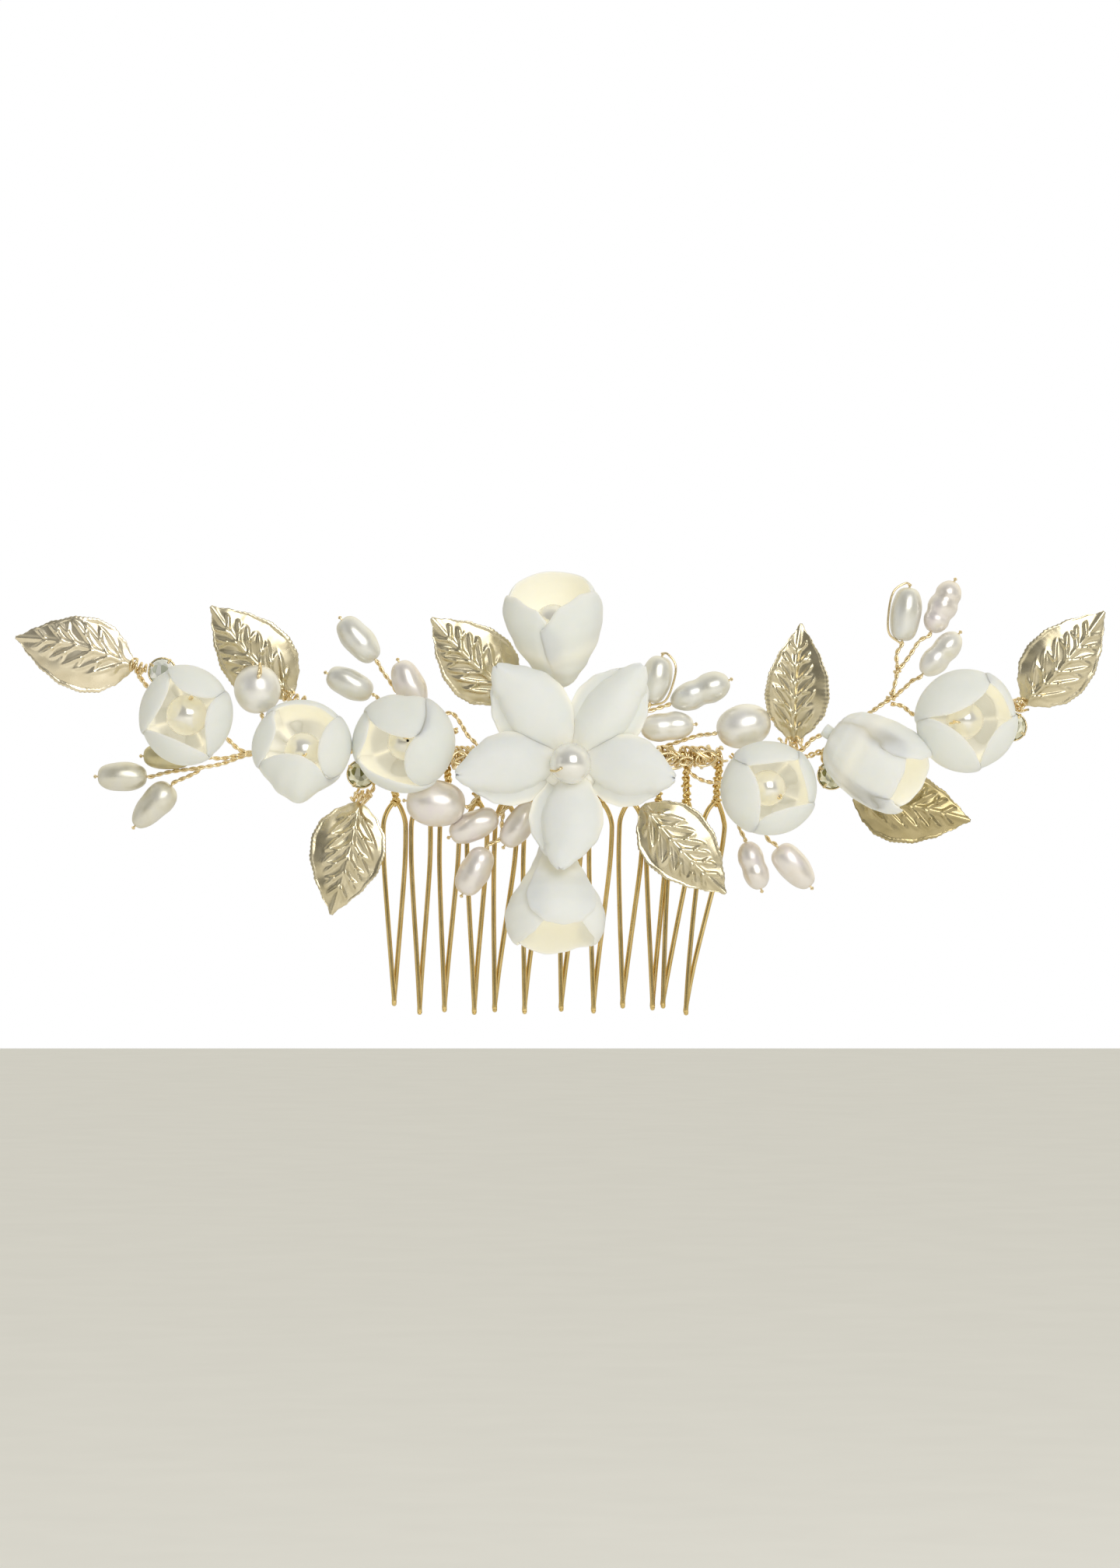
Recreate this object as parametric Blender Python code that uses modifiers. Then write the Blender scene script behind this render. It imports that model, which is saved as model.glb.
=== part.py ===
"""A decorative bridal hair comb: twelve wire hairpin teeth tied under a rail, and a wired vine of
clay flowers, stamped brass leaves, freshwater pearls and crystals in cups.

The comb stands as it is worn. The teeth point down (-Z), the decoration faces -Y, and the vine
runs along X. The origin is the middle of the teeth's roots. Places and sizes below are in
millimetres; Blender's own units are metres.
"""

import math

import bmesh
import bpy
from mathutils import Matrix, Vector

MM = 0.001

# Driving sizes, in millimetres.
TOOTH_WIRE = 0.8
RAIL_WIRE = 1.0
STEM_WIRE = 0.94
TWISTED_PAIR = 0.72
TRUNK_WIRE = 1.1
LASHING_WIRE = 0.5
RAIL_HEIGHT = 8.75
TOOTH_GAP_AT_TIP = 1.0
BORE = 1.1
FLOWER_HOLE = 1.5
CLAY = 0.8
LEAF_METAL = 0.45
FLOWER_PEARL = 6.0
TULIP_PEARL_RISE = 4.0  # how much further out the pearl sits in a long bud
CRYSTAL_CUP = 4.6
WIRE_SHOWS = 0.5  # how far a wire's end stands out of the pearl that it holds

# One tooth each: x of its top, x of its tip, height of its tip.
TEETH = (
    (-25.5, -25.7, -31.4),
    (-21.4, -21.6, -32.8),
    (-16.8, -17.6, -32.4),
    (-12.3, -12.8, -32.8),
    (-7.9, -9.2, -32.4),
    (-3.4, -4.4, -32.7),
    (2.6, 1.2, -32.3),
    (7.5, 6.4, -32.6),
    (12.4, 11.1, -31.8),
    (16.9, 15.4, -32.1),
    (21.2, 18.6, -31.8),
    (26.0, 22.4, -32.9),
)
TOOTH_TOP = 0.7
SHOULDER_WIDTH = 3.3

# Four-petal flowers: middle, direction of the mouth, roll of the petals, width, depth, and how
# far the petals close over the mouth, as an angle from the base.
CUPPED_FLOWERS = {
    "flower_left_outer": ((-58.8, -6.6, 15.0), (0.0, -1.0, 0.0), 62, 14.2, 9.4, 128),
    "flower_left_middle": ((-40.2, -6.8, 9.3), (0.0, -0.96, 0.28), 45, 15.0, 9.8, 124),
    "flower_left_inner": ((-23.7, -6.8, 10.6), (-0.12, -0.99, 0.0), 20, 15.0, 9.6, 126),
    "tulip_top": ((0.3, -7.6, 28.2), (-0.09, -0.35, 0.93), 45, 15.2, 16.2, 112),
    "tulip_bottom": ((0.3, -8.0, -14.2), (0.0, -0.35, -0.94), 45, 15.0, 16.0, 112),
    "flower_right_inner": ((34.1, -6.6, 3.3), (0.1, -0.99, 0.0), 40, 14.0, 9.4, 128),
    "flower_right_middle": ((50.2, -7.9, 8.2), (0.84, -0.2, -0.5), 0, 13.8, 12.8, 116),
    "flower_right_outer": ((65.7, -6.8, 14.2), (0.1, -0.99, 0.0), 18, 15.0, 9.6, 128),
}

# The star flower: middle, then the tip of each petal, and how wide a petal is.
STAR_MIDDLE = (2.6, -8.6, 7.3)
STAR_TIPS = (
    (-9.2, -12.0, 22.9),
    (14.2, -12.0, 22.9),
    (19.3, -12.0, 4.9),
    (1.1, -14.2, -9.5),
    (-15.6, -12.0, 5.5),
)
STAR_PETAL_WIDTH = 11.4

# Leaves: base, tip, width, height of the arch forward, and how far the sides fold back.
LEAVES = {
    "leaf_left_outer": ((-67.6, -0.6, 22.9), (-86.6, -0.4, 27.6), 11.6, 2.0, 0.12),
    "leaf_left_upper": ((-42.2, 0.5, 18.3), (-55.2, -0.6, 32.6), 11.6, 1.2, 0.10),
    "leaf_left_lower": ((-31.3, -0.8, 1.0), (-35.8, -1.8, -17.0), 12.0, 1.0, 0.12),
    "leaf_centre_upper": ((-6.5, 0.9, 17.8), (-19.7, -0.4, 30.7), 12.0, 1.0, 0.10),
    "leaf_centre_lower": ((14.3, -2.4, 0.5), (27.6, -3.4, -13.6), 11.6, 1.0, 0.10),
    "leaf_right_upper": ((38.6, -0.6, 10.9), (39.8, -1.2, 29.8), 9.6, 1.0, 0.55),
    "leaf_right_lower": ((48.3, 1.4, 1.9), (67.1, 0.2, -1.9), 11.6, 1.0, 0.10),
    "leaf_right_outer": ((75.8, -0.4, 17.0), (88.8, -0.8, 31.9), 12.0, 1.4, 0.12),
}

# Freshwater pearls: middle, length, width, tilt of the long axis in degrees from +X towards +Z,
# and the number of rings that nip the body in.
FRESHWATER_PEARLS = {
    "freshwater_pearl_01": ((-69.4, -1.0, 5.2), 7.9, 4.6, 180, 0),
    "freshwater_pearl_02": ((-64.4, -1.4, 0.5), 8.7, 4.8, 228, 0),
    "freshwater_pearl_03": ((-62.0, -0.9, 8.5), 8.0, 4.3, 180, 0),
    "freshwater_pearl_04": ((-47.5, -4.9, 19.2), 7.9, 7.4, 100, 0),
    "freshwater_pearl_05": ((-31.4, -1.6, 27.2), 8.4, 4.9, 130, 0),
    "freshwater_pearl_06": ((-32.8, -1.6, 20.1), 7.8, 4.6, 155, 0),
    "freshwater_pearl_07": ((-23.2, -2.4, 20.0), 8.0, 4.9, 115, 0),
    "freshwater_pearl_08": ((-18.9, -4.8, 0.9), 9.2, 7.4, 175, 0),
    "freshwater_pearl_09": ((-12.8, -3.2, -2.7), 8.0, 4.7, 205, 0),
    "freshwater_pearl_10": ((-12.7, -3.4, -10.0), 8.1, 5.0, 242, 0),
    "freshwater_pearl_11": ((-5.5, -3.2, -2.5), 8.0, 4.4, 235, 0),
    "freshwater_pearl_12": ((16.4, -3.0, 20.8), 7.4, 4.9, 75, 0),
    "freshwater_pearl_13": ((23.5, -2.6, 18.8), 9.9, 4.6, 22, 1),
    "freshwater_pearl_14": ((18.2, -3.2, 13.2), 8.4, 4.7, 5, 0),
    "freshwater_pearl_15": ((30.5, -2.6, 13.3), 8.7, 6.8, 8, 0),
    "freshwater_pearl_16": ((32.1, -2.0, -9.1), 7.8, 4.3, -72, 0),
    "freshwater_pearl_17": ((38.6, -2.0, -9.3), 8.1, 5.0, -50, 0),
    "freshwater_pearl_18": ((56.6, -1.6, 31.3), 8.5, 4.9, 82, 0),
    "freshwater_pearl_19": ((62.5, -1.6, 32.5), 8.8, 4.8, 65, 2),
    "freshwater_pearl_20": ((62.2, -2.0, 24.9), 8.5, 4.4, 48, 1),
}

# Crystals in their cups: the middle of each, all facing forward.
CRYSTALS = {
    "1": (-62.9, -1.8, 22.0),
    "2": (-30.9, -3.2, 5.6),
    "3": (44.7, -0.6, 5.4),
    "4": (73.7, -1.8, 13.2),
}


def clear_scene():
    for obj in list(bpy.data.objects):
        bpy.data.objects.remove(obj, do_unlink=True)


def new_collection(name):
    collection = bpy.data.collections.new(name)
    bpy.context.scene.collection.children.link(collection)
    return collection


def material(name, colour, roughness, metallic=0.0, transmission=0.0):
    made = bpy.data.materials.new(name)
    made.use_nodes = True
    shader = made.node_tree.nodes["Principled BSDF"]
    shader.inputs["Base Color"].default_value = (*colour, 1.0)
    shader.inputs["Roughness"].default_value = roughness
    shader.inputs["Metallic"].default_value = metallic
    shader.inputs["Transmission Weight"].default_value = transmission
    made.diffuse_color = (*colour, 1.0)
    return made


def clay_material():
    return material("clay_petals", (0.90, 0.89, 0.87), 0.55)


def comb_gold_material():
    return material("comb_gold", (0.90, 0.68, 0.32), 0.22, metallic=1.0)


def craft_wire_material():
    return material("craft_wire_gold", (0.86, 0.66, 0.34), 0.28, metallic=1.0)


def leaf_material():
    return material("leaf_gold", (0.80, 0.68, 0.44), 0.34, metallic=1.0)


def cup_material():
    return material("cup_gold", (0.85, 0.66, 0.36), 0.25, metallic=1.0)


def nacre_material():
    return material("freshwater_nacre", (0.86, 0.82, 0.76), 0.22)


def round_pearl_material():
    return material("round_pearl", (0.92, 0.88, 0.80), 0.15)


def crystal_material():
    return material("crystal_glass", (0.95, 0.94, 0.90), 0.02, transmission=1.0)


def vector(point):
    return Vector(point) * MM


def placed(point, direction, roll=0.0):
    """The matrix that turns local +Z to a direction, after a roll about it, and moves to a point."""
    turn = Vector(direction).to_track_quat("Z", "Y").to_matrix().to_4x4()
    return Matrix.Translation(vector(point)) @ turn @ Matrix.Rotation(math.radians(roll), 4, "Z")


def in_plane(degrees):
    """The unit vector at this angle from +X towards +Z."""
    angle = math.radians(degrees)
    return Vector((math.cos(angle), 0.0, math.sin(angle)))


def add_object(name, mesh, look, matrix=None):
    obj = bpy.data.objects.new(name, mesh)
    parts.objects.link(obj)
    obj.data.materials.append(look)
    if matrix is not None:
        obj.matrix_world = matrix
    return obj


def evaluated_mesh(obj):
    bpy.context.view_layer.update()
    graph = bpy.context.evaluated_depsgraph_get()
    return bpy.data.meshes.new_from_object(obj.evaluated_get(graph))


def tube(points, diameter, cyclic=False):
    """A wire through the points, as a mesh object with its caps welded."""
    curve = bpy.data.curves.new("wire", "CURVE")
    curve.dimensions = "3D"
    curve.bevel_depth = diameter * MM / 2
    curve.bevel_resolution = 1
    curve.use_fill_caps = not cyclic
    spline = curve.splines.new("POLY")
    spline.points.add(len(points) - 1)
    for place, point in zip(spline.points, points):
        place.co = (*vector(point), 1.0)
    spline.use_cyclic_u = cyclic
    guide = bpy.data.objects.new("wire", curve)
    parts.objects.link(guide)
    mesh = evaluated_mesh(guide)
    bpy.data.objects.remove(guide)
    shape = bmesh.new()
    shape.from_mesh(mesh)
    bmesh.ops.remove_doubles(shape, verts=shape.verts, dist=1e-6)
    bmesh.ops.recalc_face_normals(shape, faces=shape.faces)
    shape.to_mesh(mesh)
    shape.free()
    obj = bpy.data.objects.new("wire", mesh)
    parts.objects.link(obj)
    return obj


def joined(name, shapes, look):
    """One body from overlapping mesh objects, which are used up."""
    whole = shapes[0]
    for shape in shapes[1:]:
        union = whole.modifiers.new("join", "BOOLEAN")
        union.operation = "UNION"
        union.object = shape
        mesh = evaluated_mesh(whole)
        whole.modifiers.clear()
        whole.data = mesh
        bpy.data.objects.remove(shape)
    whole.name = name
    whole.data.name = name
    whole.data.materials.clear()
    whole.data.materials.append(look)
    smooth(whole)
    return whole


def smooth(obj, degrees=40):
    obj.data.shade_smooth()
    obj.data.set_sharp_from_angle(angle=math.radians(degrees))


def turned(name, profile, steps, look, matrix):
    """A closed profile of (radius, height), outer side first from the top down, turned about Z."""
    mesh = bpy.data.meshes.new(name)
    points = [(radius * MM, 0.0, height * MM) for radius, height in profile]
    edges = [(i, (i + 1) % len(points)) for i in range(len(points))]
    mesh.from_pydata(points, edges, [])
    obj = add_object(name, mesh, look, matrix)
    screw = obj.modifiers.new("turn", "SCREW")
    screw.steps = steps
    screw.render_steps = steps
    screw.use_smooth_shade = True
    return obj


def sheet(name, along, across, place, thickness, look):
    """A grid bent by place(u, v), u from 0 to 1 and v from -1 to 1, and given a thickness."""
    shape = bmesh.new()
    bmesh.ops.create_grid(shape, x_segments=along, y_segments=across, size=1.0)
    for vert in shape.verts:
        vert.co = vector(place((vert.co.x + 1) / 2, vert.co.y))
    mesh = bpy.data.meshes.new(name)
    shape.to_mesh(mesh)
    shape.free()
    obj = add_object(name, mesh, look)
    shell = obj.modifiers.new("thickness", "SOLIDIFY")
    shell.thickness = thickness * MM
    shell.offset = 0.0
    smooth(obj)
    return obj


# ---- pearls ----


def pearl_profile(length, width, rings, bore=BORE, points=7):
    """The outer side of a bored pearl from its top down, then its bore from the bottom up."""
    outer = []
    start = math.asin(min(1.0, bore / width * 1.15))
    for i in range(points):
        angle = start + (math.pi - 2 * start) * i / (points - 1)
        nip = 1.0 - (0.10 * math.cos(angle * 2 * (rings + 1)) ** 2 if rings else 0.0)
        radius = max(width / 2 * math.sin(angle) ** 0.9 * nip, bore / 2 + 0.12)
        outer.append((radius, length / 2 * math.cos(angle)))
    top, bottom = outer[0][1], outer[-1][1]
    return [*outer, (bore / 2, bottom), (bore / 2, top)]


def freshwater_pearl(name):
    middle, length, width, tilt, rings = FRESHWATER_PEARLS[name]
    profile = pearl_profile(length, width, rings, points=9 if rings else 7)
    return turned(name, profile, 9, nacre, placed(middle, in_plane(tilt)))


def wire_through(name):
    """Where a wire enters a freshwater pearl's near end, and where it ends past the far one."""
    middle, length, _, tilt, _ = FRESHWATER_PEARLS[name]
    axis = in_plane(tilt)
    near = Vector(middle) - axis * (length / 2 + WIRE_SHOWS)
    far = Vector(middle) + axis * (length / 2 + WIRE_SHOWS)
    return tuple(near), tuple(far)


# ---- flowers ----


def flower_base(name):
    middle, mouth, _, _, depth, _ = CUPPED_FLOWERS[name]
    return Vector(middle) - Vector(mouth).normalized() * (depth / 2)


def flower_pearl_middle(name):
    mouth = Vector(CUPPED_FLOWERS[name][1]).normalized()
    raised = TULIP_PEARL_RISE if name.startswith("tulip") else 0.0
    return flower_base(name) + mouth * (CLAY + FLOWER_PEARL / 2 + 0.9 + raised)


def cupped_flower(name):
    """Four petals fused into a cup: round where it is widest, square at the mouth."""
    _, mouth, roll, width, depth, close = CUPPED_FLOWERS[name]
    first = math.degrees(math.asin((FLOWER_HOLE / 2 + CLAY / 2) / (width / 2)))
    height = depth / (1 - math.cos(math.radians(close)))

    def place(u, v):
        around = math.pi * (v + 1)
        rise = math.radians(first + (close - first) * u)
        square = 2.0 + 3.2 * u**2
        petal = abs(math.cos(2 * around))
        corner = (abs(math.cos(around)) ** square + abs(math.sin(around)) ** square) ** (-1 / square)
        radius = width / 2 * math.sin(rise) * corner * (1 - 0.06 * (1 - petal) * math.sin(rise))
        radius *= 1.0 - 0.07 * u**2
        lift = height * (1 - math.cos(rise)) + 0.5 * math.cos(4 * around) * u**2
        return radius * math.cos(around), radius * math.sin(around), lift

    obj = sheet(name, 5, 16, place, CLAY, clay)
    weld_seam(obj)
    obj.matrix_world = placed(flower_base(name), mouth, roll)
    return obj


def weld_seam(obj):
    shape = bmesh.new()
    shape.from_mesh(obj.data)
    bmesh.ops.remove_doubles(shape, verts=shape.verts, dist=1e-6)
    bmesh.ops.recalc_face_normals(shape, faces=shape.faces)
    shape.to_mesh(obj.data)
    shape.free()


def flower_pearl(name, middle, direction):
    profile = pearl_profile(FLOWER_PEARL, FLOWER_PEARL, 0, points=7)
    return turned(name, profile, 9, round_pearl, placed(middle, direction))


def star_petal(tip):
    middle = Vector(STAR_MIDDLE)
    axis = Vector(tip) - middle
    side = axis.cross(Vector((0, 1, 0))).normalized()

    def place(u, v):
        half = STAR_PETAL_WIDTH / 2 * math.sin(math.pi * (0.14 + 0.84 * u) ** 0.9) ** 0.9 + 0.2
        pillow = -1.3 * math.sin(math.pi * u) * (1 - v * v) + 0.6 * abs(v) * u * (1 - u) * 4
        return middle + axis * (0.10 + 0.90 * u) + side * (half * v) + Vector((0, pillow, 0))

    obj = sheet("petal", 5, 4, place, 1.1, clay)
    obj.data = evaluated_mesh(obj)
    obj.modifiers.clear()
    shape = bmesh.new()
    shape.from_mesh(obj.data)
    bmesh.ops.recalc_face_normals(shape, faces=shape.faces)
    shape.to_mesh(obj.data)
    shape.free()
    return obj


def star_flower():
    boss = [(1.9, 1.2), (4.6, 0.9), (4.6, -0.7), (1.9, -1.1)]
    hub = turned("hub", [*boss, (FLOWER_HOLE / 2, -1.1), (FLOWER_HOLE / 2, 1.2)], 14, clay,
                 placed(STAR_MIDDLE, (0, -1, 0)))
    mesh = evaluated_mesh(hub)
    mesh.transform(hub.matrix_world)
    hub.modifiers.clear()
    hub.data = mesh
    hub.matrix_world = Matrix()
    return joined("star_flower", [hub, *[star_petal(tip) for tip in STAR_TIPS]], clay)


# ---- leaves ----


def leaf(name):
    base, tip, width, arch, fold = LEAVES[name]
    start = Vector(base)
    axis = Vector(tip) - start
    side = axis.cross(Vector((0, 1, 0))).normalized()

    def place(u, v):
        half = width / 2 * math.sin(math.pi * (0.02 + 0.96 * u) ** 0.82) ** 0.85 + 0.25
        forward = -arch * math.sin(math.pi * u) * (1 - 0.3 * abs(v)) + fold * half * abs(v)
        return start + axis * u + side * (half * v) + Vector((0, forward, 0))

    return sheet(name, 7, 4, place, LEAF_METAL, leaf_gold)


# ---- crystals ----


def crystal_cup(number):
    outer, height, wall = CRYSTAL_CUP / 2, 2.0, 0.28
    inner = outer - wall
    profile = [(outer, height), (outer, 0.9), (outer * 0.72, 0.0), (0.5, 0.0), (0.5, 0.3),
               (inner * 0.70, 0.3), (inner, 1.0), (inner, height)]
    matrix = placed(CRYSTALS[number], (0, -1, 0)) @ Matrix.Translation((0, 0, -1.3 * MM))
    return turned(f"crystal_cup_{number}", profile, 8, cup_gold, matrix)


def crystal(number):
    """A faceted stone: table, crown, girdle and pavilion."""
    girdle = CRYSTAL_CUP / 2 - 0.5
    levels = ((0.0, girdle * 0.25), (1.35, girdle), (1.65, girdle), (2.45, girdle * 0.55))
    shape = bmesh.new()
    for (low, wide), (high, narrow) in zip(levels, levels[1:]):
        made = bmesh.ops.create_cone(
            shape, segments=8, radius1=wide * MM, radius2=narrow * MM, depth=(high - low) * MM,
            cap_ends=False, matrix=Matrix.Translation((0, 0, (high + low) / 2 * MM)))
        bmesh.ops.rotate(shape, verts=made["verts"], matrix=Matrix.Rotation(0.2, 3, "Z"))
    bmesh.ops.remove_doubles(shape, verts=shape.verts, dist=1e-6)
    bmesh.ops.holes_fill(shape, edges=shape.edges)
    bmesh.ops.recalc_face_normals(shape, faces=shape.faces)
    mesh = bpy.data.meshes.new(f"crystal_{number}")
    shape.to_mesh(mesh)
    shape.free()
    matrix = placed(CRYSTALS[number], (0, -1, 0)) @ Matrix.Translation((0, 0, -0.9 * MM))
    return add_object(f"crystal_{number}", mesh, glass, matrix)


def cup_back(number, drop=0.9):
    """The point just behind a cup's floor, where its wire is twisted."""
    x, y, z = CRYSTALS[number]
    return x, y + 1.3 + drop, z


# ---- wires ----


def tooth(top_x, tip_x, tip_z):
    """A hairpin: both legs leave one top, spread to the shoulders and close at the tip."""
    shoulder_z = -3.4
    straight = shoulder_z - (tip_z + 0.7)
    left, right = [], []
    for drop, width in ((0.0, 1.0), (0.35, 0.82), (0.72, 0.42), (1.0, 0.0)):
        half = (TOOTH_GAP_AT_TIP + (SHOULDER_WIDTH - TOOTH_GAP_AT_TIP) * width) / 2
        middle = top_x + (tip_x - top_x) * drop
        left.append((middle - half, 0.0, shoulder_z - straight * drop))
        right.append((middle + half, 0.0, shoulder_z - straight * drop))
    crown = [(top_x + SHOULDER_WIDTH * share, 0.0, height)
             for share, height in ((0.40, -1.0), (0.14, 0.35), (-0.14, 0.35), (-0.40, -1.0))]
    bend = [(tip_x + share, 0.0, tip_z + rise) for share, rise in ((-0.32, 0.12), (0.32, 0.12))]
    return tube([*crown, *left, *bend, *reversed(right)], TOOTH_WIRE, cyclic=True)


def comb_wire():
    """The rail, the stems that hang from it, and the teeth tied to them."""
    first, last = TEETH[0][0] - 1.0, TEETH[-1][0] + 1.0
    shapes = [tube([(first, 0.0, RAIL_HEIGHT), (last, 0.0, RAIL_HEIGHT)], RAIL_WIRE)]
    for top_x, tip_x, tip_z in TEETH:
        shapes.append(tube([(top_x, 0.0, RAIL_HEIGHT), (top_x, 0.0, TOOTH_TOP - 0.5)], STEM_WIRE))
        shapes.append(tooth(top_x, tip_x, tip_z))
    return joined("comb_wire", shapes, comb_gold)


def rail_lashing():
    """A binding wire that winds round the rail, one turn between one stem and the next."""
    radius = (RAIL_WIRE + LASHING_WIRE) / 2 + 0.12
    tops = [top_x for top_x, _, _ in TEETH]
    points = []
    for left, right in zip(tops, tops[1:]):
        for i in range(6):
            share = i / 6
            angle = math.tau * share
            points.append((left + (right - left) * share, -radius * math.sin(angle),
                           RAIL_HEIGHT + radius * math.cos(angle)))
    return joined("rail_lashing_wire", [tube(points, LASHING_WIRE)], craft_gold)


def flower_stem(name, start):
    """A wire from the vine through a flower's base and its pearl."""
    mouth = Vector(CUPPED_FLOWERS[name][1]).normalized()
    end = flower_pearl_middle(name) + mouth * (FLOWER_PEARL / 2 + WIRE_SHOWS)
    return tube([start, tuple(flower_base(name) - mouth * 0.8), tuple(end)], TWISTED_PAIR)


def pearl_branch(name, route):
    """A twisted pair along the route, then through a freshwater pearl."""
    return tube([*route, *wire_through(name)], TWISTED_PAIR)


def vine_wire_left():
    """From the rail's left end behind the three left flowers to the outer leaf."""
    trunk = tube([(-27.2, 0.3, 9.0), (-31.5, 0.4, 9.4), (-36.0, 0.3, 8.6), (-40.2, 0.2, 8.6),
                  (-44.5, 0.3, 8.2), (-48.0, 0.3, 8.9), (-50.4, 0.3, 9.6), (-53.5, 0.3, 12.0),
                  (-58.8, 0.3, 15.0), (-62.0, 0.5, 17.2), (-64.9, 0.7, 19.4), (-66.4, 0.7, 21.6)],
                 TRUNK_WIRE)
    shapes = [
        trunk,
        flower_stem("flower_left_outer", (-58.8, 0.3, 15.0)),
        flower_stem("flower_left_middle", (-40.2, 0.2, 8.6)),
        pearl_branch("freshwater_pearl_01", [(-48.2, 0.3, 8.9), (-51.4, 0.3, 7.9),
                                             (-55.5, 0.0, 6.5), (-60.0, -0.6, 5.6)]),
        pearl_branch("freshwater_pearl_02", [(-55.3, 0.0, 6.6), (-58.2, -0.8, 5.6)]),
        pearl_branch("freshwater_pearl_03", [(-48.6, 0.3, 9.0), (-52.6, -0.2, 8.9)]),
        pearl_branch("freshwater_pearl_04", [(-44.3, 0.3, 8.3), (-45.8, 0.0, 11.4)]),
        tube([(-40.3, 0.2, 8.7), (-41.4, 0.4, 14.0), (-42.2, -0.6, 17.4)], TWISTED_PAIR),
        tube([(-62.0, 0.5, 17.2), (-62.9, 0.8, 19.6), cup_back("1")], TWISTED_PAIR),
    ]
    return joined("vine_wire_left", shapes, craft_gold)


def inner_left_wire():
    """The cluster behind the left inner flower: its pearls, its crystal and the lower leaf."""
    hub = (-24.6, 1.6, 11.6)
    shapes = [
        tube([(-15.5, 1.6, 12.6), hub, (-30.6, 1.7, 11.2)], TRUNK_WIRE),
        flower_stem("flower_left_inner", (-23.9, 1.6, 11.5)),
        pearl_branch("freshwater_pearl_05", [hub, (-24.9, 0.8, 18.4)]),
        pearl_branch("freshwater_pearl_06", [hub, (-26.0, 0.6, 16.2)]),
        pearl_branch("freshwater_pearl_07", [hub, (-21.9, 0.4, 13.8)]),
        tube([(-30.2, 1.7, 11.3), (-31.0, 1.6, 8.0), cup_back("2", 1.4)], TWISTED_PAIR),
        tube([(-29.6, 1.7, 11.2), (-29.6, 1.4, 7.0), (-30.6, 0.6, 2.6), (-30.8, 0.0, 1.6)],
             TWISTED_PAIR),
    ]
    return joined("inner_left_wire", shapes, craft_gold)


def centre_wire():
    """The upright behind the star that holds both tulips, the star and the pearls round it."""
    shapes = [
        tube([(2.2, -1.9, 17.0), (2.6, -1.9, 7.3), (0.8, -1.9, -7.0)], TRUNK_WIRE),
        tube([(2.6, -1.9, 7.3), (2.6, STAR_MIDDLE[1] - 1.2 - FLOWER_PEARL - WIRE_SHOWS, 7.3)],
             TWISTED_PAIR),
        flower_stem("tulip_top", (2.2, -1.9, 16.8)),
        flower_stem("tulip_bottom", (0.8, -1.9, -6.8)),
        pearl_branch("freshwater_pearl_08", [(2.6, -1.9, 7.0), (-6.0, -3.0, 5.0)]),
        pearl_branch("freshwater_pearl_09", [(2.5, -1.9, 6.4), (-4.5, -2.6, 3.0)]),
        pearl_branch("freshwater_pearl_11", [(2.3, -1.9, 5.0), (-0.6, -2.6, 3.2)]),
        pearl_branch("freshwater_pearl_10", [(-7.4, -3.0, 1.9), (-8.15, -3.6, -1.6)]),
        tube([(-4.4, -2.6, 3.0), (-7.6, -3.0, 1.8)], TWISTED_PAIR),
        pearl_branch("freshwater_pearl_12", [(2.6, -1.9, 8.6), (11.6, -2.4, 11.4)]),
        pearl_branch("freshwater_pearl_13", [(2.6, -1.9, 8.6), (10.5, -2.2, 13.2)]),
        pearl_branch("freshwater_pearl_14", [(2.6, -1.9, 8.6), (9.0, -2.6, 11.6)]),
    ]
    return joined("centre_wire", shapes, craft_gold)


def vine_wire_right():
    """From the rail's right end behind the right inner flower to the right middle one."""
    shapes = [
        tube([(28.5, 0.3, 8.7), (31.0, 0.3, 6.2), (34.1, 0.2, 4.4), (37.4, 0.2, 7.0),
              (39.75, 0.0, 8.2), (43.0, -0.4, 9.6), (43.4, -2.6, 12.0)], TRUNK_WIRE),
        flower_stem("flower_right_inner", (34.1, 0.2, 4.4)),
        flower_stem("flower_right_middle", (43.3, -1.6, 11.4)),
        pearl_branch("freshwater_pearl_15", [(29.4, 0.2, 8.0), (27.6, -1.3, 9.6), (24.2, -1.6, 11.2)]),
        pearl_branch("freshwater_pearl_16", [(33.4, 0.2, 4.6), (30.6, -0.4, -1.4)]),
        pearl_branch("freshwater_pearl_17", [(34.4, 0.2, 4.5), (33.9, -0.4, -2.4)]),
        tube([(38.2, 0.1, 7.4), (38.4, 0.3, 10.6)], TWISTED_PAIR),
        tube([(43.0, -0.4, 9.5), (43.6, 1.6, 7.6), cup_back("3")], TWISTED_PAIR),
        tube([(43.0, -0.3, 9.5), (50.0, 2.6, 13.8), (54.3, 0.6, 17.6), (59.5, 0.4, 15.4),
              (65.7, 0.2, 14.2), (70.0, 0.6, 15.0), (74.9, 0.5, 16.2)], TWISTED_PAIR),
        flower_stem("flower_right_outer", (65.2, 0.2, 14.2)),
        pearl_branch("freshwater_pearl_18", [(54.3, 0.6, 17.6), (55.2, -0.4, 22.2)]),
        pearl_branch("freshwater_pearl_19", [(55.2, -0.4, 22.2), (57.2, -0.8, 24.4)]),
        pearl_branch("freshwater_pearl_20", [(54.4, 0.5, 17.7), (56.9, -0.8, 19.4)]),
        tube([(71.0, 0.6, 15.2), (72.6, 0.9, 14.2), cup_back("4")], TWISTED_PAIR),
        tube([(46.4, 1.1, 11.6), (47.4, 2.9, 6.0), (48.2, 2.6, 2.6)], TWISTED_PAIR),
    ]
    return joined("vine_wire_right", shapes, craft_gold)


clear_scene()
parts = new_collection("bridal_hair_comb")

clay = clay_material()
comb_gold = comb_gold_material()
craft_gold = craft_wire_material()
leaf_gold = leaf_material()
cup_gold = cup_material()
nacre = nacre_material()
round_pearl = round_pearl_material()
glass = crystal_material()

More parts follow.
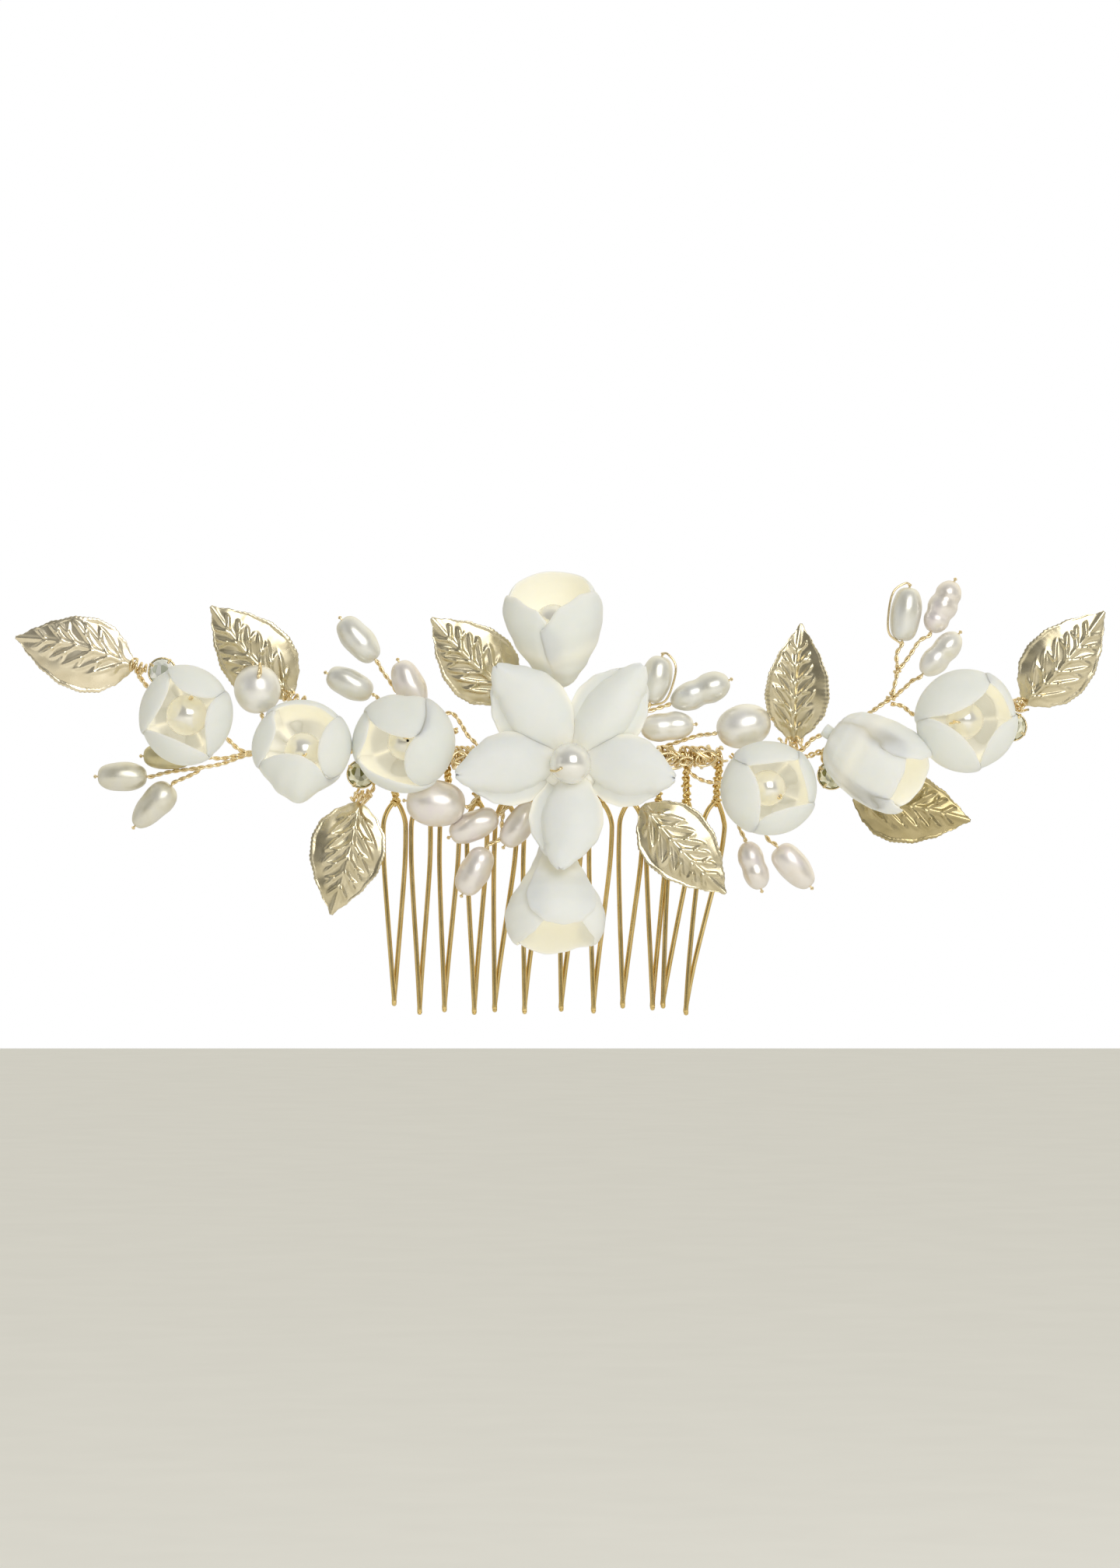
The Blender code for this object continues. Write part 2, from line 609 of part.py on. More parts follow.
comb_wire()
rail_lashing()
vine_wire_left()
inner_left_wire()
centre_wire()
vine_wire_right()
star_flower()
for flower_name, flower_data in CUPPED_FLOWERS.items():
    cupped_flower(flower_name)
    flower_pearl(f"pearl_in_{flower_name}", flower_pearl_middle(flower_name), flower_data[1])
star_pearl_middle = Vector(STAR_MIDDLE) + Vector((0, -1.2 - FLOWER_PEARL / 2 - 0.1, 0))
flower_pearl("pearl_in_star_flower", star_pearl_middle, (0, -1, 0))
for leaf_name in LEAVES:
    leaf(leaf_name)
for pearl_name in FRESHWATER_PEARLS:
    freshwater_pearl(pearl_name)
for crystal_number in CRYSTALS:
    crystal_cup(crystal_number)
    crystal(crystal_number)
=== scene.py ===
"""Looks of the bridal hair comb: clay petals, veined leaves, twisted wires, pearls and crystals.

Lengths are in millimetres until a point becomes a vertex. The camera looks along +Y.
"""

import math

import bmesh
import bpy
import numpy as np
from mathutils import Matrix, Vector, noise


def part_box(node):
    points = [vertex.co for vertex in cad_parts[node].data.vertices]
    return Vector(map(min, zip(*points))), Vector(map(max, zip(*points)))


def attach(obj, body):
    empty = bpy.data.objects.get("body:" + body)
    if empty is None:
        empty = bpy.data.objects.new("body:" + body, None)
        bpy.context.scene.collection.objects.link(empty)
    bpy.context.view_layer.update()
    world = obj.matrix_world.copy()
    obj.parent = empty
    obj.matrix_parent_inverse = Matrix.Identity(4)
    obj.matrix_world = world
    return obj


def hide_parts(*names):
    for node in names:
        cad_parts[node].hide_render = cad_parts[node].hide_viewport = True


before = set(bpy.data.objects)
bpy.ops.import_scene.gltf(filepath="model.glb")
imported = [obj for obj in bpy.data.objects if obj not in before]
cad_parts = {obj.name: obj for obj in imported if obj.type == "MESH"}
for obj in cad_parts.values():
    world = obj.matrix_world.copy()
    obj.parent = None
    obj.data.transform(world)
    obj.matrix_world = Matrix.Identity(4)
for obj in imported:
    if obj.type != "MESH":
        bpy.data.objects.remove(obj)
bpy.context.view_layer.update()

MM = 0.001


# ---- placing things from the frame ----


def middle(node):
    low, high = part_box(node)
    return (Vector(low) + Vector(high)) / 2 / MM


def facing(direction):
    """Axes of a flower: its own right, its own up, and the way that its mouth points."""
    mouth = Vector(direction).normalized()
    up = Vector((0, 0, 1)) - mouth * mouth.z
    up.normalize()
    return up.cross(mouth), up, mouth


def in_plane(degrees):
    angle = math.radians(degrees)
    return Vector((math.cos(angle), 0.0, math.sin(angle))).normalized()


def lerp(a, b, t):
    return a + (b - a) * t


def smoothstep(low, high, value):
    t = min(1.0, max(0.0, (value - low) / (high - low)))
    return t * t * (3 - 2 * t)


def through(points, per_span=6):
    """A smooth curve through points, Catmull-Rom, closed ends repeated."""
    known = [Vector(p) for p in points]
    padded = [known[0] * 2 - known[1], *known, known[-1] * 2 - known[-2]]
    curve = []
    for i in range(1, len(padded) - 2):
        a, b, c, d = padded[i - 1:i + 3]
        for k in range(per_span):
            t = k / per_span
            curve.append(0.5 * ((2 * b) + (c - a) * t + (2 * a - 5 * b + 4 * c - d) * t**2
                                + (3 * b - a - 3 * c + d) * t**3))
    curve.append(known[-1])
    return curve


def profile_value(stops, t):
    """A smooth value at t through (place, value) stops."""
    for (at, low), (to, high) in zip(stops, stops[1:]):
        if t <= to:
            share = (t - at) / (to - at)
            return lerp(low, high, share * share * (3 - 2 * share) * 0.5 + share * 0.5)
    return stops[-1][1]


# ---- pieces ----


def finished(obj, look, nodes=()):
    """Gives a new piece its material and its body, and hides the CAD nodes that it stands for."""
    obj.data.materials.clear()
    obj.data.materials.append(look)
    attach(obj, "root")
    if nodes:
        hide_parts(*nodes)


def link(name, data):
    obj = bpy.data.objects.new(name, data)
    bpy.context.scene.collection.objects.link(obj)
    return obj


def grid_mesh(name, columns, rows, place, values=None, closed=False):
    """A grid of points place(s, t), s along and t across, both from 0 to 1."""
    verts, faces, glow_shares = [], [], []
    for i in range(rows):
        for j in range(columns):
            s, t = i / (rows - 1), j / (columns if closed else columns - 1)
            verts.append(Vector(place(s, t)) * MM)
            glow_shares.append(values(s, t) if values else 0.0)
    around = columns if closed else columns - 1
    for i in range(rows - 1):
        for j in range(around):
            k = (j + 1) % columns
            faces.append((i * columns + j, i * columns + k, (i + 1) * columns + k, (i + 1) * columns + j))
    mesh = bpy.data.meshes.new(name)
    mesh.from_pydata(verts, [], faces)
    # Each point's share of painted glow is kept as an attribute; the clay material turns it into a cream
    # tint and emitted light.
    if values:
        mesh.attributes.new("painted_glow", "FLOAT", "POINT").data.foreach_set("value", glow_shares)
    mesh.shade_smooth()
    mesh.update()
    return mesh


def rounded(obj):
    surface = obj.modifiers.new("round", "SUBSURF")
    surface.levels = surface.render_levels = 1


def thickened(obj, thickness):
    wall = obj.modifiers.new("thickness", "SOLIDIFY")
    wall.thickness = thickness * MM
    wall.offset = 0.0


def join_objects(name, objects):
    """One mesh object from several, with their modifiers applied."""
    graph = bpy.context.evaluated_depsgraph_get()
    whole = bmesh.new()
    for obj in objects:
        mesh = bpy.data.meshes.new_from_object(obj.evaluated_get(graph), depsgraph=graph)
        mesh.transform(obj.matrix_world)
        whole.from_mesh(mesh)
        bpy.data.meshes.remove(mesh)
        bpy.data.objects.remove(obj)
    mesh = bpy.data.meshes.new(name)
    whole.to_mesh(mesh)
    whole.free()
    mesh.shade_smooth()
    return link(name, mesh)


def wires(name, strands, look, nodes=()):
    """Many wires in one piece. Each strand is (points, diameter)."""
    curve = bpy.data.curves.new(name, "CURVE")
    curve.dimensions = "3D"
    widest = max(diameter for _, diameter in strands)
    curve.bevel_depth = widest * MM / 2
    curve.bevel_resolution = 3
    curve.use_fill_caps = True
    for points, diameter in strands:
        spline = curve.splines.new("POLY")
        spline.points.add(len(points) - 1)
        for place, point in zip(spline.points, points):
            place.co = (*(Vector(point) * MM), 1.0)
            place.radius = diameter / widest
        spline.use_smooth = True
    finished(link(name, curve), look, nodes)


# ---- materials ----


class Graph:
    """The nodes of a material or a world. A socket takes a plain value, or an output to link."""

    def __init__(self, tree):
        self.nodes, self.links = tree.nodes, tree.links

    def feed(self, socket, value):
        if isinstance(value, bpy.types.NodeSocket):
            self.links.new(value, socket)
        else:
            socket.default_value = value

    def shade(self, sockets):
        shader = self.nodes["Principled BSDF"]
        for name, value in sockets.items():
            self.feed(shader.inputs[name], value)

    def add(self, kind, inputs, **settings):
        """The outputs of a new node with these settings and inputs."""
        made = self.nodes.new("ShaderNode" + kind)
        for name, value in settings.items():
            setattr(made, name, value)
        for name, value in inputs.items():
            self.feed(made.inputs[name], value)
        return made.outputs

    def place(self, coordinates="Object"):
        return self.add("TexCoord", {})[coordinates]

    def noise(self, scale, detail=3.0):
        return self.add("TexNoise", {"Vector": self.place(), "Scale": scale, "Detail": detail})["Fac"]

    def ramp(self, source, *stops):
        made = self.nodes.new("ShaderNodeValToRGB")
        elements = made.color_ramp.elements
        while len(elements) < len(stops):
            elements.new(0.5)
        for element, (at, colour) in zip(elements, stops):
            element.position = at
            element.color = (*colour, 1.0)
        self.links.new(source, made.inputs["Fac"])
        return made.outputs["Color"]

    def greys(self, source, low, high, ends=(0.3, 0.7)):
        return self.ramp(source, (ends[0], (low,) * 3), (ends[1], (high,) * 3))

    def bump(self, height, strength, distance, **under):
        inputs = {"Height": height, "Strength": strength, "Distance": distance, **under}
        return self.add("Bump", inputs)["Normal"]

    def math(self, operation, first, second):
        return self.add("Math", {0: first, 1: second}, operation=operation)["Value"]

    def mix(self, factor, first, second, blend="MIX"):
        inputs = {"Factor": factor, 6: first, 7: second}
        return self.add("Mix", inputs, data_type="RGBA", blend_type=blend)[2]

    def stretch(self, source, low, high):
        """A value that ran from -1 to 1, now from low to high."""
        inputs = {"Value": source, "From Min": -1.0, "To Min": low, "To Max": high}
        return self.add("MapRange", inputs)["Result"]


def new_look(name):
    look = bpy.data.materials.new(name)
    look.use_nodes = True
    return look, Graph(look.node_tree)


CLAY_GLOW = 0.30  # strength of the painted glow: emitted light that stands in for the light thin clay walls pass on to the inside of a flower


def clay_look(name, dark, light):
    """Matt clay with painted light: where a petal's points carry painted glow, it mixes in a cream tint and
    emits light, lifting the shade inside flowers.
    """
    look, graph = new_look(name)
    painted_glow = graph.add("Attribute", {}, attribute_name="painted_glow")["Fac"]
    patches = graph.noise(260.0)
    cool = graph.ramp(patches, (0.3, dark), (0.7, light))
    # Painted glow tint: a cream colour mixed in where the painted glow is, standing in for light that passes
    # through the clay.
    glow_paint = graph.ramp(patches, (0.3, (0.88, 0.86, 0.76)), (0.7, (0.90, 0.88, 0.78)))
    soft = graph.bump(graph.noise(420.0, 2.0), 0.22, 0.0004)
    graph.shade({
        "Base Color": graph.mix(painted_glow, cool, glow_paint),
        "Roughness": graph.greys(patches, 0.46, 0.58),
        "Normal": graph.bump(graph.noise(3200.0, 4.0), 0.10, 0.00004, Normal=soft),
        # Painted glow: light emitted where the painted glow is, strongest deep inside a flower.
        "Emission Strength": graph.math("MULTIPLY", graph.math("POWER", painted_glow, 2.4), CLAY_GLOW),
        "Emission Color": (1.0, 0.93, 0.75, 1.0),
        "Subsurface Weight": 0.8,
        "Subsurface Radius": (1.0, 0.92, 0.72),
        "Subsurface Scale": 0.0018,
        "Specular IOR Level": 0.3,
    })
    return look


def metal_look(name, dark, light, roughness, grain, bump, slot=None):
    look, graph = new_look(name)
    grains = graph.noise(grain, 1.5)
    graph.shade({
        "Base Color": graph.ramp(graph.noise(340.0, 4.0), (0.3, dark), (0.7, light)),
        "Roughness": graph.greys(grains, roughness * 0.85, roughness * 1.2),
        "Normal": graph.bump(grains, bump, 0.00003),
        "Metallic": 1.0,
    })
    return look


def nacre_look(name, dark, light, overtone, roughness=0.34, rings=0.0):
    """Nacre: soft clouds of colour and a clear coat, with faint rings on some pearls."""
    look, graph = new_look(name)
    clouds = graph.noise(330.0)
    waves = {"Vector": graph.place(), "Scale": 190.0, "Distortion": 0.8, "Detail": 0.0}
    bands = graph.add("TexWave", waves, bands_direction="Z")["Fac"]
    graph.shade({
        "Base Color": graph.ramp(clouds, (0.3, dark), (0.52, light), (0.75, overtone)),
        "Roughness": graph.greys(clouds, roughness * 0.85, roughness * 1.2),
        "Normal": graph.bump(graph.math("MULTIPLY", bands, graph.noise(240.0, 0.0)), rings, 0.00012),
        "Metallic": 0.55,
        "Specular IOR Level": 0.6,
        "Coat Weight": 0.4,
        "Coat Roughness": 0.20,
    })
    return look


def crystal_look(name, tint, foil, mirror):
    """Cut glass with foil behind it: small cells, like facets, show the tint or a darker tone, a painted
    pattern of bright and dark facet reflections over the stone's own tint.
    """
    look, graph = new_look(name)
    facets = graph.add("TexVoronoi", {"Vector": graph.place(), "Scale": 1050.0})["Color"]
    graph.shade({
        # Painted reflection: cells switch between the bright tint and the darker foil colour.
        "Base Color": graph.ramp(facets, (0.36, foil), (0.60, tint)),
        "Roughness": graph.greys(facets, 0.10, 0.03, (0.4, 0.6)),
        "Metallic": mirror,
        "Coat Weight": 1.0,
        "Coat Roughness": 0.01,
    })
    return look


clay = clay_look("clay_petals", (0.785, 0.815, 0.79), (0.815, 0.835, 0.81))
bright_clay = clay_look("clay_petals_bright", (0.84, 0.865, 0.835), (0.87, 0.885, 0.855))
comb_gold = metal_look("comb_gold", (0.72, 0.53, 0.21), (0.86, 0.66, 0.31), 0.15, 500.0, 0.02)
craft_gold = metal_look("craft_wire_gold", (0.82, 0.66, 0.38), (0.94, 0.79, 0.52), 0.20, 600.0, 0.02)
LEAF = (0.27, 420.0, 0.04, "leaf_gold")  # roughness, grain, bump and slot
leaf_gold = metal_look("leaf_gold", (0.62, 0.54, 0.35), (0.75, 0.67, 0.48), *LEAF)
leaf_pale = metal_look("leaf_gold_pale", (0.80, 0.70, 0.50), (0.92, 0.83, 0.64), *LEAF)
leaf_olive = metal_look("leaf_gold_olive", (0.44, 0.36, 0.18), (0.55, 0.46, 0.26), *LEAF)
cup_gold = metal_look("cup_gold", (0.74, 0.60, 0.32), (0.86, 0.72, 0.44), 0.18, 600.0, 0.02)
ivory = nacre_look("nacre_ivory", (0.88, 0.85, 0.76), (0.93, 0.91, 0.85), (0.90, 0.88, 0.86))
rose = nacre_look("nacre_rose", (0.86, 0.79, 0.70), (0.90, 0.85, 0.80), (0.87, 0.80, 0.81), rings=0.05)
silver = nacre_look("nacre_silver", (0.78, 0.76, 0.66), (0.84, 0.83, 0.77), (0.81, 0.82, 0.81))
champagne = nacre_look("nacre_champagne", (0.70, 0.66, 0.52), (0.80, 0.77, 0.66), (0.77, 0.75, 0.70))
# Painted shade and reflection: a darker olive copy of the nacre, for the pearl that lies in shade under a
# flower and mirrors the gold.
shaded_olive = nacre_look("nacre_olive_painted_shade", (0.52, 0.45, 0.22), (0.70, 0.62, 0.36), (0.64, 0.60, 0.42))
round_white = nacre_look("round_pearl", (0.88, 0.86, 0.78), (0.92, 0.90, 0.84), (0.90, 0.89, 0.86),
                         roughness=0.20, rings=0.01)
clear_stone = crystal_look("crystal_clear", (1.0, 1.0, 0.97), (0.64, 0.67, 0.54), 0.40)
olive_stone = crystal_look("crystal_olive", (1.0, 0.98, 0.78), (0.26, 0.24, 0.07), 0.55)


# ---- clay petals ----

WALL = 0.8  # thickness of a bud's petals
FIRST_RISE = math.radians(9)
BUD_CLOSE = math.radians(128)
UNDER, OVER = -0.2, 0.12  # how far the first and the last side of a bud's petal stand off the body
RIPPLE = 0.07


def shell(name, columns, rows, place, centre):
    """A closed petal round the middle surface place(s, t), thinner and rounder at its edges."""
    grid = np.array([[place(i / (rows - 1), j / (columns - 1)) for j in range(columns)]
                     for i in range(rows)])
    normals = np.cross(np.gradient(grid, axis=0), np.gradient(grid, axis=1))
    normals /= np.maximum(np.linalg.norm(normals, axis=2, keepdims=True), 1e-9)
    if (normals * (grid - np.array(centre))).sum() < 0:
        normals = -normals
    verts, glow_paint = [], []
    for side in (1, -1):
        for i in range(rows):
            for j in range(columns):
                s, t = i / (rows - 1), j / (columns - 1)
                edge = min(1 - s, 1.6 * t, 1.6 * (1 - t)) / 0.16
                taper = math.sqrt(max(0.0, 1 - max(0.0, 1 - edge) ** 2)) * 0.72 + 0.28
                verts.append(Vector(grid[i, j] + normals[i, j] * side * WALL / 2 * taper) * MM)
                # Painted glow: on the outer face at the thin edges and in a band part way up; on the inner
                # face, stronger deeper in, lifting the shade inside the flower.
                rim = smoothstep(0.35, 0.0, edge) * 0.35 + 0.5 * math.exp(-(((s - 0.40) / 0.13) ** 2))
                glow_paint.append(min(1.0, rim if side > 0 else 0.72 + 0.28 * (1 - s)))
    faces = shell_faces(columns, rows)
    mesh = bpy.data.meshes.new(name)
    mesh.from_pydata(verts, [], faces)
    mesh.attributes.new("painted_glow", "FLOAT", "POINT").data.foreach_set("value", glow_paint)
    obj = link(name, mesh)
    rounded(obj)
    return obj


def shell_faces(columns, rows):
    """Faces of an outer grid, an inner grid and the strip that joins them all the way round."""
    inner = columns * rows
    faces = []
    for i in range(rows - 1):
        for j in range(columns - 1):
            a, b = i * columns + j, (i + 1) * columns + j
            faces.append((a, a + 1, b + 1, b))
            faces.append((inner + a, inner + b, inner + b + 1, inner + a + 1))
    ring = [j for j in range(columns)]
    ring += [i * columns + columns - 1 for i in range(1, rows)]
    ring += [(rows - 1) * columns + j for j in range(columns - 2, -1, -1)]
    ring += [i * columns for i in range(rows - 2, 0, -1)]
    for a, b in zip(ring, ring[1:] + ring[:1]):
        faces.append((b, a, inner + a, inner + b))
    return faces


class Bud:
    """A round bud in its own axes: width and height across it, depth along the way it opens."""

    def __init__(self, node, direction, width, height, depth, bumps):
        self.right, self.up, self.mouth = facing(direction)
        self.width, self.height, self.depth = width / 2, height / 2, depth
        self.bumps = bumps
        self.base = middle(node) - self.mouth * (depth / 2)
        self.centre = self.base + self.mouth * (depth * 0.5)

    def radius(self, around):
        """The outline in this direction. Each bump is as (angle, amount, spread) in degrees."""
        reach = 1 / math.hypot(math.cos(around) / self.width, math.sin(around) / self.height)
        for at, amount, spread in self.bumps:
            away = (math.degrees(around) - at + 180) % 360 - 180
            reach += amount * math.exp(-((away / spread) ** 2))
        return reach

    def point(self, around, rise, out=0.0):
        lift = self.depth * (1 - math.cos(rise)) / (1 - math.cos(BUD_CLOSE))
        flat = self.right * math.cos(around) + self.up * math.sin(around)
        reach = self.radius(around) * math.sin(rise) + out * math.sin(rise)
        return self.base + flat * reach + self.mouth * (lift - out * math.cos(rise))


def rim_places(cup, start, end, rim):
    """(angle round the axis, rise) at even steps along a petal's rim, drawn as it is seen from in front."""
    line = even(through([(x, y, 0.0) for x, y in rim], 10), 0.12)
    places = []
    for k, spot in enumerate(line):
        nominal = math.radians(lerp(start, end, k / (len(line) - 1)))
        around = math.atan2(spot.y, spot.x)
        around += math.tau * round((nominal - around) / math.tau)
        share = min(0.995, spot.length / cup.radius(around))
        places.append((around, math.pi - math.asin(share)))
    return places


def bud_petal(name, cup, start, end, rim, seed):
    """A petal that rises from the base to the outline, then folds in to its rim."""
    places = rim_places(cup, start, end, rim)
    low, high = math.radians(start), math.radians(end)

    def place(s, t):
        around = lerp(low, high, t)
        k = t * (len(places) - 1)
        a, b = places[int(k)], places[min(int(k) + 1, len(places) - 1)]
        rim_around, rim_rise = lerp(a[0], b[0], k - int(k)), lerp(a[1], b[1], k - int(k))
        if s < 0.5:
            rise = lerp(FIRST_RISE, math.pi / 2, s / 0.5)
        else:
            fold = (s - 0.5) / 0.5
            rise = lerp(math.pi / 2, rim_rise, fold)
            around = lerp(around, rim_around, fold * fold * (3 - 2 * fold))
        spot = Vector((math.cos(around) * 1.2 + seed, math.sin(around) * 1.2, rise))
        wave = noise.noise(spot) + 0.5 * noise.noise(spot * 2.3)
        shift = lerp(UNDER, OVER, t * t * (3 - 2 * t)) * smoothstep(0.1, 0.55, s) + RIPPLE * wave * 2
        return cup.point(around, rise, shift)

    return shell(name, 30, 30, place, cup.centre)


def bud(name, node, cup, petals, ragged):
    """Petals and the small clay seat under them, as one cured piece."""
    pieces = [bud_petal(f"{name}_petal_{k}", cup, *data, seed=k * 3.7 + cup.width)
              for k, data in enumerate(petals)]

    def seat(s, t):
        around, rise = math.tau * t, math.radians(2 + 50 * s)
        rough = ragged * noise.noise(Vector((math.cos(around) * 2, math.sin(around) * 2, 1.0))) * s
        return cup.point(around, rise, 0.1 + rough)

    # The seat carries a painted glow of 0.8.
    floor = link(f"{name}_seat", grid_mesh(f"{name}_seat", 32, 8, seat, lambda s, t: 0.8, closed=True))
    thickened(floor, 1.0)
    rounded(floor)
    finished(join_objects(name, [*pieces, floor]), clay, [node])


# Each bud: the way it opens, its width, height and depth, bumps in its outline, how ragged its seat is,
# and its petals as (first angle, last angle, rim).
BUDS = {
    "left_outer": ((0, -1, 0), 14.2, 15.2, 9.8, (), 0.0, [
        (22, 112, [(6.5, 3.1), (4.8, 2.7), (3.2, 2.7), (1.6, 3.0), (-0.1, 3.7), (-1.5, 4.8),
                   (-2.3, 6.0), (-2.7, 7.0)]),
        (100, 206, [(-1.9, 6.9), (-2.4, 5.6), (-2.5, 4.1), (-3.0, 2.6), (-3.9, 0.8), (-5.1, -1.0),
                    (-6.0, -2.2), (-6.7, -2.9)]),
        (195, 306, [(-6.8, -2.3), (-4.9, -2.7), (-2.8, -3.4), (-0.4, -4.3), (1.7, -5.3), (3.4, -6.2),
                    (4.0, -6.9)]),
        (294, 392, [(3.1, -6.9), (3.5, -6.0), (3.4, -3.8), (3.3, -1.6), (3.6, 0.5), (4.4, 2.2),
                    (6.0, 3.6)]),
    ]),
    "left_middle": ((0.0, -0.96, 0.22), 15.2, 14.4, 10.0, ((266, 1.7, 15), (243, 0.7, 9)), 0.8, [
        (32, 138, [(6.4, 3.2), (5.0, 4.3), (3.0, 5.6), (0.0, 6.3), (-2.6, 6.1), (-4.9, 5.1), (-5.6, 4.5)]),
        (122, 208, [(-4.3, 5.5), (-4.4, 4.1), (-4.1, 2.6), (-4.0, 1.2), (-4.6, -0.7), (-5.5, -2.4),
                    (-6.6, -3.4)]),
        (312, 402, [(4.2, -6.0), (3.2, -4.6), (2.7, -2.8), (2.8, -1.0), (3.4, 0.9), (4.4, 2.8), (5.8, 4.3)]),
        (196, 326, [(-7.0, -2.8), (-5.8, -2.8), (-4.2, -2.5), (-2.3, -2.4), (0.0, -2.8), (1.8, -3.6),
                    (3.1, -4.7), (4.2, -6.0)]),
    ]),
    "left_inner": ((-0.12, -0.99, 0.0), 15.8, 15.3, 10.0, ((88, -0.5, 12),), 0.0, [
        (136, 206, [(-5.2, 5.0), (-5.1, 3.6), (-5.2, 2.0), (-5.6, 0.2), (-6.5, -1.6), (-7.4, -2.8)]),
        (196, 312, [(-7.5, -2.2), (-6.8, -3.2), (-5.2, -4.5), (-2.7, -5.6), (0.2, -6.4), (2.6, -6.8),
                    (4.6, -6.4)]),
        (294, 426, [(4.2, -6.7), (2.9, -6.7), (1.7, -6.0), (0.9, -4.3), (1.0, -1.9), (1.9, 0.0),
                    (3.3, 1.8), (4.0, 4.2), (3.6, 6.8)]),
        (52, 144, [(4.6, 6.0), (4.4, 3.6), (3.6, 1.8), (2.8, 0.9), (1.4, 0.7), (-0.8, 1.1), (-3.0, 2.1),
                   (-4.6, 3.6), (-5.6, 5.1)]),
    ]),
    "right_inner": ((0.1, -0.99, 0.0), 14.9, 14.5, 9.6, (), 0.0, [
        (46, 138, [(5.2, 5.1), (4.2, 4.6), (2.6, 4.4), (-0.2, 4.0), (-2.5, 3.7), (-4.0, 3.6), (-5.6, 4.5)]),
        (124, 250, [(-4.2, 5.9), (-4.0, 4.0), (-3.0, 2.2), (-2.3, 0.2), (-2.0, -2.1), (-2.0, -4.1),
                    (-2.1, -5.6), (-2.6, -6.8)]),
        (242, 344, [(-3.0, -6.5), (-2.2, -5.4), (-1.0, -4.4), (1.2, -3.4), (3.5, -2.8), (5.8, -2.4),
                    (7.0, -2.0)]),
        (338, 414, [(7.0, -2.8), (6.2, -2.2), (5.8, -0.7), (5.2, 1.3), (4.6, 3.0), (4.3, 4.6), (4.4, 5.8)]),
    ]),
    "right_outer": ((0.1, -0.99, 0.0), 15.7, 15.9, 10.0, (), 0.0, [
        (0, 68, [(7.6, 0.1), (6.8, 0.9), (6.4, 2.0), (5.4, 3.8), (4.2, 5.1), (3.1, 5.9), (2.8, 7.2)]),
        (58, 184, [(4.2, 6.6), (3.3, 5.7), (2.4, 4.4), (0.9, 3.1), (-0.9, 1.9), (-3.6, 0.8), (-6.3, 0.4),
                   (-7.7, -0.2)]),
        (176, 288, [(-7.6, 0.6), (-6.4, 0.3), (-4.5, -0.5), (-2.1, -2.1), (0.0, -4.2), (1.2, -6.0),
                    (1.8, -7.0), (2.3, -7.7)]),
        (278, 366, [(1.1, -7.7), (1.8, -7.0), (2.1, -5.4), (3.0, -3.0), (4.6, -0.9), (6.6, 0.2),
                    (7.7, 1.0)]),
    ]),
}


def buds():
    for side, (direction, width, height, depth, bumps, ragged, petals) in BUDS.items():
        cup = Bud(f"flower_{side}", direction, width, height, depth, bumps)
        bud(f"bud_{side}", f"flower_{side}", cup, petals, ragged)


class Tulip:
    """A longer bud with a narrow foot, a widest place above its middle and a mouth that draws in."""

    def __init__(self, base, direction, width, thick, depth, profile, bend=0.0):
        self.right, self.up, self.mouth = facing(direction)
        self.base, self.depth = Vector(base), depth
        self.width, self.thick, self.bend = width / 2, thick / 2, bend
        self.profile = profile
        self.centre = self.base + self.mouth * (depth * 0.5)

    def point(self, around, share, out=0.0):
        swell = profile_value(self.profile, min(1.0, share))
        lift = self.depth * share
        flat = self.right * (math.cos(around) * (self.width * swell + out))
        flat += self.up * (math.sin(around) * (self.thick * swell + out))
        return self.base + flat + self.mouth * lift + self.right * self.bend * share * share


def tulip_petal(name, cup, start, end, tops, sides, seed, ripple=0.10, pleats=0.0, parting=(0.05, 0.5)):
    """A petal of a tulip. tops lists (place across it, height of its rim), both from 0 to 1.

    sides is how far each of its two sides stands off the body, from the heights in parting up.
    """

    def place(s, t):
        around = math.radians(lerp(start, end, t))
        rise = s * profile_value(tops, t)
        spot = Vector((math.cos(around) * 1.1 + seed, math.sin(around) * 1.1, rise * 2.2))
        wave = noise.noise(spot) + 0.5 * noise.noise(spot * 2.3)
        shift = lerp(*sides, t * t * (3 - 2 * t)) * smoothstep(*parting, s) + ripple * wave * 2
        shift += pleats * math.sin(around * 9 + seed) * smoothstep(0.5, 0.05, rise)
        return cup.point(around, rise, shift)

    return shell(name, 34, 34, place, cup.centre)


def tulip(name, node, cup, petals, sides, look, **shape):
    pieces = [tulip_petal(f"{name}_petal_{k}", cup, *data, side, seed=k * 2.9 + cup.depth, **shape)
              for k, (data, side) in enumerate(zip(petals, sides))]

    def foot(s, t):
        around = math.tau * t
        reach = cup.width * 0.20 * math.sin(math.pi / 2 * s)
        flat = cup.right * math.cos(around) + cup.up * math.sin(around)
        return cup.base + flat * reach - cup.mouth * (0.5 * math.cos(math.pi / 2 * s) - 0.3)

    # The seat carries a painted glow of 0.6.
    seat = link(f"{name}_seat", grid_mesh(f"{name}_seat", 24, 6, foot, lambda s, t: 0.6, closed=True))
    thickened(seat, 1.0)
    rounded(seat)
    finished(join_objects(name, [*pieces, seat]), look, [node])


def round_top(low, top, at=0.5, high_end=None):
    end = low if high_end is None else high_end
    return [(0.0, low), (at * 0.45, lerp(low, top, 0.78)), (at, top),
            (at + (1 - at) * 0.55, lerp(end, top, 0.78)), (1.0, end)]


